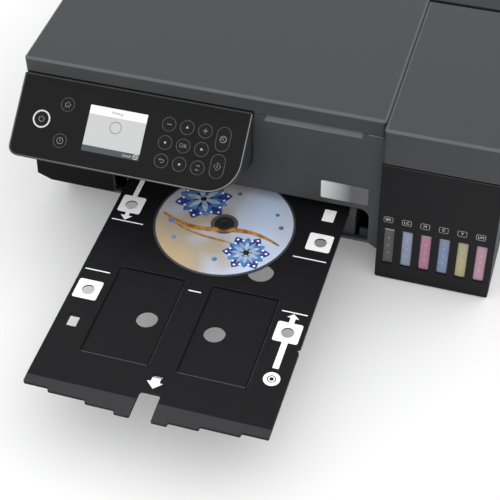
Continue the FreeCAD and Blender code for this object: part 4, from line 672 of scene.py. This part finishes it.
# ---------------------------------------------------------------- tank block
TANK_FACE = face_at(0, -65.7, 0, 90)
PANE_FACE = face_at(0, -62.9, 0, 90)
PANE_FRONT = face_at(0, -63.4, 0, 90)
SKIRT_FACE = face_at(0, -62.8, 0, 90)
WINDOW_FIRST, WINDOW_PITCH, WINDOW_LOW, WINDOW_HIGH = 117.5, 15.5, 18.5, 60.2
PANE_HALF, AIR_HALF, AIR_TALL = 4.35, 4.3, 3.4
LABEL_FIRST, LABEL_PITCH, LABEL_Z = 116.1, 15.35, 71.0
LABEL_HALF, LABEL_RISE, LABEL_LINE, LABEL_SIZE = 3.7, 3.0, 0.45, 4.0
GROOVE_HALF, GROOVE_Z = 4.4, 15.6
GLINT_OFF, GLINT_UP = 3.4, 1.0
LEVEL_SPAN, LEVEL_SHARES = 41.7, (0.3, 0.51, 0.72)
labels, grooves = [], []
for number, code in enumerate(INKS):
    x = LABEL_FIRST + LABEL_PITCH * number
    labels.append(stroke(round_box(x - LABEL_HALF, LABEL_Z - LABEL_RISE, x + LABEL_HALF, LABEL_Z + LABEL_RISE,
                                   1.2, 6), LABEL_LINE, True))
    labels.append(lettering(code.upper(), LABEL_SIZE, x, LABEL_Z))
    x = WINDOW_FIRST + WINDOW_PITCH * number
    grooves.append(stroke([(x - GROOVE_HALF, GROOVE_Z), (x + GROOVE_HALF, GROOVE_Z)], 0.6))
    slot = "tank_" + code
    pane = plate([round_box(x - PANE_HALF, WINDOW_LOW + 0.05, x + PANE_HALF, WINDOW_HIGH - 0.05, 1.2, 8)],
                 0.5)
    piece("ink_window_" + code, [pane], FINISHES[slot], PANE_FACE, "frame")
    air = plate([round_box(x - AIR_HALF, WINDOW_HIGH - AIR_TALL, x + AIR_HALF, WINDOW_HIGH - 0.1, 1.15, 8)],
                0.08)
    # Two painted glints at the foot of each window, in the air strip's colour.
    glints = [plate([circle(x + side * GLINT_OFF, WINDOW_LOW + GLINT_UP, 0.5, 12)], 0.1) for side in (-1, 1)]
    piece("ink_air_" + code, [air, *glints], AIR_GLINT_PRINT, PANE_FRONT, "frame")
    dots = [plate([circle(x, WINDOW_HIGH - share * LEVEL_SPAN, 0.6, 16)], 0.12) for share in LEVEL_SHARES]
    piece("level_dots_" + code, dots, DOT_PRINT, PANE_FRONT, "frame")
piece("tank_labels", labels, LABEL_PRINT, TANK_FACE, "frame")

# Dark seam under the tank lid, and just below it a pale painted highlight along the top edge of the tank's
# front.
SEAM_LEFT, SEAM_RIGHT = 108.2, 204.6
for name, colour, level, wide in (("tank_seam", (4, 4, 5), 131.0, 0.7),
                                  ("tank_seam_highlight", (96, 96, 99), 130.2, 0.45)):
    piece(name, [stroke([(SEAM_LEFT, level), (SEAM_RIGHT, level)], wide)],
          printed(name, colour, 0.8, **DARK), TANK_FACE, "frame")
SKIRT_LEFT, SKIRT_RIGHT, SKIRT_LOW, SKIRT_HIGH = 107.6, 205.1, 1.5, 3.95
SKIRT_CORNERS, SKIRT_THICK = (2.2, 2.2, 0.05, 0.05), 2.9
skirt = plate([round_box(SKIRT_LEFT, SKIRT_LOW, SKIRT_RIGHT, SKIRT_HIGH, SKIRT_CORNERS, 6)], SKIRT_THICK)
piece("tank_skirt", [skirt], FINISHES["tank_black"], SKIRT_FACE, "frame")
piece("tank_grooves", grooves, FINISHES["rubber"], TANK_FACE, "frame")


# ---------------------------------------------------------------- label disc
GROUND_HALF, GROUND_ENDS = 0.075, (0.1, 0.9)


def artwork_ground():
    """Blurred ground of the printed disc, sand at the left and pale blue at the right."""
    material, tree, shader = new_material("artwork_ground", {"Roughness": 0.22, "Coat Weight": 0.3})
    split = add(tree, "ShaderNodeSeparateXYZ")
    blur = add(tree, "ShaderNodeTexNoise", {"Scale": 24.0, "Detail": 1.0, "Roughness": 0.4})
    on_object(tree, split, blur)
    across = ranged(tree, split.outputs["X"], DISC_X - GROUND_HALF, DISC_X + GROUND_HALF, *GROUND_ENDS)
    drift = ranged(tree, blur.outputs["Fac"], *NOISE, -0.3, 0.3)
    ramp = add(tree, "ShaderNodeValToRGB")
    tree.links.new(maths(tree, "ADD", across, drift), ramp.inputs["Fac"])
    stops = ramp.color_ramp.elements
    for stop, position, colour in zip(stops, GROUND_ENDS, ((204, 180, 144), (208, 226, 254))):
        stop.position, stop.color = position, ink(*colour)
    for position, colour in ((0.35, (190, 178, 158)), (0.6, (206, 214, 232))):
        stops.new(position).color = ink(*colour)
    tree.links.new(ramp.outputs["Color"], shader.inputs["Base Color"])
    return material


PRINT_EDGE, HUB_EDGE, HUB_RING_EDGE, RING_EDGE = 57.9, 11.65, 8.2, 59.8


def on_disc(name, meshes, material, lift=0.0):
    """Make a piece of the picture, lifted off the disc's face; the disc lies level with the tray's face."""
    place = TRAY_FACE @ Matrix.Translation((0, 0, lift * MM))
    piece(name, meshes, material, place, "label_disc")


on_disc("disc_ground", [plate([circle(0, 0, PRINT_EDGE, 128), circle(0, 0, HUB_EDGE, 64)], 0.05)],
        artwork_ground())


def petal(x, y, turn, reach, half):
    """Pointed leaf outline from a foot, turned by degrees."""
    c, s = cos(radians(turn)), sin(radians(turn))
    side = [(reach * step / 12, half * sin(pi * step / 12) ** 0.8) for step in range(13)]
    outline = side + [(along, -off) for along, off in side[-2:0:-1]]
    return [(x + along * c - off * s, y + along * s + off * c) for along, off in outline]


def ribbon(points, half):
    """Long band along points that narrows to both ends."""
    upper_side, lower_side = [], []
    for number, (x, y) in enumerate(points):
        before, after = points[max(number - 1, 0)], points[min(number + 1, len(points) - 1)]
        along = Vector((after[0] - before[0], after[1] - before[1])).normalized()
        wide = half * (0.35 + 0.65 * sin(pi * number / (len(points) - 1)))
        upper_side.append((x - along.y * wide, y + along.x * wide))
        lower_side.append((x + along.y * wide, y - along.x * wide))
    return upper_side + lower_side[::-1]


def art_ink(name, colour, other):
    """Print ink that shifts between two shades."""
    material, tree, shader = new_material(name, {"Roughness": 0.25, "Coat Weight": 0.3})
    wash = add(tree, "ShaderNodeTexNoise", {"Scale": 160.0, "Detail": 3.0})
    on_object(tree, wash)
    share = ranged(tree, wash.outputs["Fac"], 0.35, 0.65, 0, 1)
    tree.links.new(mixed(tree, ink(*colour), ink(*other), share), shader.inputs["Base Color"])
    return material


ART_BLUE = art_ink("artwork_blue", (58, 104, 178), (110, 160, 214))
ART_DEEP = art_ink("artwork_deep_blue", (36, 52, 128), (74, 88, 176))
ART_PALE = art_ink("artwork_pale", (206, 222, 240), (160, 190, 226))
ART_AMBER = art_ink("artwork_amber", (150, 96, 40), (214, 158, 84))
ART_DARK = art_ink("artwork_dark", (30, 30, 42), (52, 50, 66))
LEAVES = 6


def leaves(foot, first, reach, half):
    """Ring of equal leaves around a foot, the first at an angle in degrees."""
    return [plate([petal(*foot, first + 360 * n / LEAVES, reach, half)], 0.02) for n in range(LEAVES)]


def around(foot, reach, first, count):
    """Points evenly spread around a foot, the first at an angle in degrees."""
    x, y = foot
    turns = [radians(first + 360 * n / count) for n in range(count)]
    return [(x + reach * cos(turn), y + reach * sin(turn)) for turn in turns]


def sweep_line(rise, lean, bend, first, last):
    """Points of a long shallow curve across the disc."""
    return [(x, rise + lean * x + bend * sin(x / 17)) for x in range(first, last, 3)]


# Each ink lies a little higher than the one under it.
FLOWER, BUD = (-26, 24), (27, -27)
on_disc("disc_band", [plate([ribbon(sweep_line(-7, -0.12, 6, -54, 54), 2.6)], 0.02)], ART_AMBER, 0.05)
on_disc("disc_twig", [plate([ribbon(sweep_line(-19, -0.3, 4, -48, 16), 1.3)], 0.02)], ART_AMBER, 0.055)
on_disc("disc_leaves_deep", leaves(FLOWER, 24, 25, 7) + leaves(BUD, 10, 20, 5.6), ART_DEEP, 0.06)
on_disc("disc_leaves_blue", leaves(FLOWER, 54, 22, 5.6) + leaves(BUD, 40, 17, 4.6), ART_BLUE, 0.085)
on_disc("disc_leaves_pale", leaves(FLOWER, 54, 16, 2.4) + leaves(BUD, 40, 12, 2.0) + leaves(BUD, 10, 14, 1.2),
        ART_PALE, 0.11)
veins = [stroke([inner, outer], 0.45)
         for foot, reach, first in ((FLOWER, 24, 24), (BUD, 19, 10))
         for inner, outer in zip(around(foot, 0.2 * reach, first, LEAVES),
                                 around(foot, 0.9 * reach, first, LEAVES))]
on_disc("disc_veins", veins, ART_DARK, 0.1)
specks = [plate([circle(*point, 1.1, 12)], 0.02)
          for ring in ((FLOWER, 17.5, 39, 12), (BUD, 14, 25, 12), (FLOWER, 21, 24, 6), (BUD, 16.5, 10, 6))
          for point in around(*ring)]
on_disc("disc_specks", specks, GLOWING_WHITE_PRINT, 0.14)
on_disc("disc_flower_hearts", [plate([circle(*foot, 2.6, 24)], 0.03) for foot in (FLOWER, BUD)], ART_DARK,
        0.13)
berries = [(-44, -8, 2.4), (-36, -26, 2.0), (4, -41, 2.3), (47, 8, 2.2), (40, 22, 1.8), (2, 38, 2.1)]
on_disc("disc_berries", [plate([circle(*berry, 24)], 0.02) for berry in berries], ART_BLUE, 0.08)
on_disc("disc_ring", [plate([circle(0, 0, RING_EDGE, 128), circle(0, 0, PRINT_EDGE, 128)], 0.03)],
        printed("ring_print", (66, 69, 75), 0.3))
on_disc("disc_hub_band", [plate([circle(0, 0, HUB_EDGE, 96), circle(0, 0, HUB_RING_EDGE, 64)], 0.04)],
        printed("hub_band_print", (92, 88, 92)))

# ---------------------------------------------------------------- floor, light and camera
FLOOR_HALF, FLOOR_WHITE, PAPER_GLOW = 6, 0.93, 0.14
WALLS, CEILING = 1.27, 1.15
LAMP_PLACE, LAMP_WIDE, LAMP_POWER = (1.2, 0.9, 1.8), 1.5, 4.0
LAMP_AIM = 0, 0, 0.1
CAMERA_LENS, CAMERA_PLACE = 97.737, (0.2463, -0.8536, 0.8616)
CAMERA_TURN = 43.838, 0.907, 16.6894


def seen_by(tree, first, *others):
    """1 for a ray of one of these kinds, otherwise 0."""
    path = add(tree, "ShaderNodeLightPath")
    seen = path.outputs[first]
    for kind in others:
        seen = maths(tree, "MAXIMUM", seen, path.outputs[kind])
    return seen


def mixed_shader(tree, share, first, second):
    """Mix of two shaders by a share."""
    mix = add(tree, "ShaderNodeMixShader")
    for socket, value in zip(mix.inputs, (share, first.outputs[0], second.outputs[0])):
        tree.links.new(value, socket)
    return mix.outputs[0]


def plain_floor():
    """Wide pale sheet that glows faintly towards the camera and in reflections."""
    shape = bmesh.new()
    bmesh.ops.create_grid(shape, x_segments=1, y_segments=1, size=FLOOR_HALF)
    data = bpy.data.meshes.new("studio_floor")
    shape.to_mesh(data)
    shape.free()
    floor = in_scene("studio_floor", data)
    material, tree, shader = new_material("studio_paper", {
        "Base Color": (FLOOR_WHITE, FLOOR_WHITE, FLOOR_WHITE, 1), "Roughness": 0.9,
        "Specular IOR Level": 0.1})
    glow = add(tree, "ShaderNodeEmission", {"Color": (1, 1, 1, 1), "Strength": 1.0})
    seen = seen_by(tree, "Is Camera Ray", "Is Glossy Ray", "Is Transmission Ray")
    tree.links.new(mixed_shader(tree, maths(tree, "MULTIPLY", seen, PAPER_GLOW), shader, glow),
                   tree.nodes["Material Output"].inputs["Surface"])
    data.materials.append(material)


plain_floor()


def studio_light():
    """White room, brighter towards its walls than overhead, and one weak soft lamp behind at the right."""
    world = bpy.data.worlds.new("studio")
    bpy.context.scene.world = world
    world.use_nodes = True
    tree = world.node_tree
    tree.nodes.clear()
    way = add(tree, "ShaderNodeTexCoord")
    split = add(tree, "ShaderNodeSeparateXYZ")
    tree.links.new(way.outputs["Generated"], split.inputs[0])
    fade = ranged(tree, split.outputs["Z"], 0, 1, WALLS, CEILING, interpolation_type="SMOOTHERSTEP")
    lit = add(tree, "ShaderNodeBackground", {"Color": (1, 1, 1, 1)})
    tree.links.new(fade, lit.inputs["Strength"])
    shown = add(tree, "ShaderNodeBackground", {"Color": (1, 1, 1, 1), "Strength": 1.0})
    seen = seen_by(tree, "Is Camera Ray", "Is Transmission Ray")
    out = add(tree, "ShaderNodeOutputWorld")
    tree.links.new(mixed_shader(tree, seen, lit, shown), out.inputs["Surface"])
    lamp = bpy.data.lights.new("soft_lamp", "AREA")
    lamp.shape = "DISK"
    lamp.size = LAMP_WIDE
    lamp.energy = LAMP_POWER
    held = in_scene("soft_lamp", lamp)
    held.location = LAMP_PLACE
    held.rotation_euler = (Vector(LAMP_AIM) - Vector(LAMP_PLACE)).to_track_quat("-Z", "Y").to_euler()


studio_light()

camera = in_scene("camera", bpy.data.cameras.new("camera"))
camera.data.sensor_width = 36
camera.data.sensor_fit = "HORIZONTAL"
camera.data.lens = CAMERA_LENS
camera.location = CAMERA_PLACE
camera.rotation_euler = [radians(angle) for angle in CAMERA_TURN]
bpy.context.scene.camera = camera
bpy.context.scene.view_settings.view_transform = "Standard"
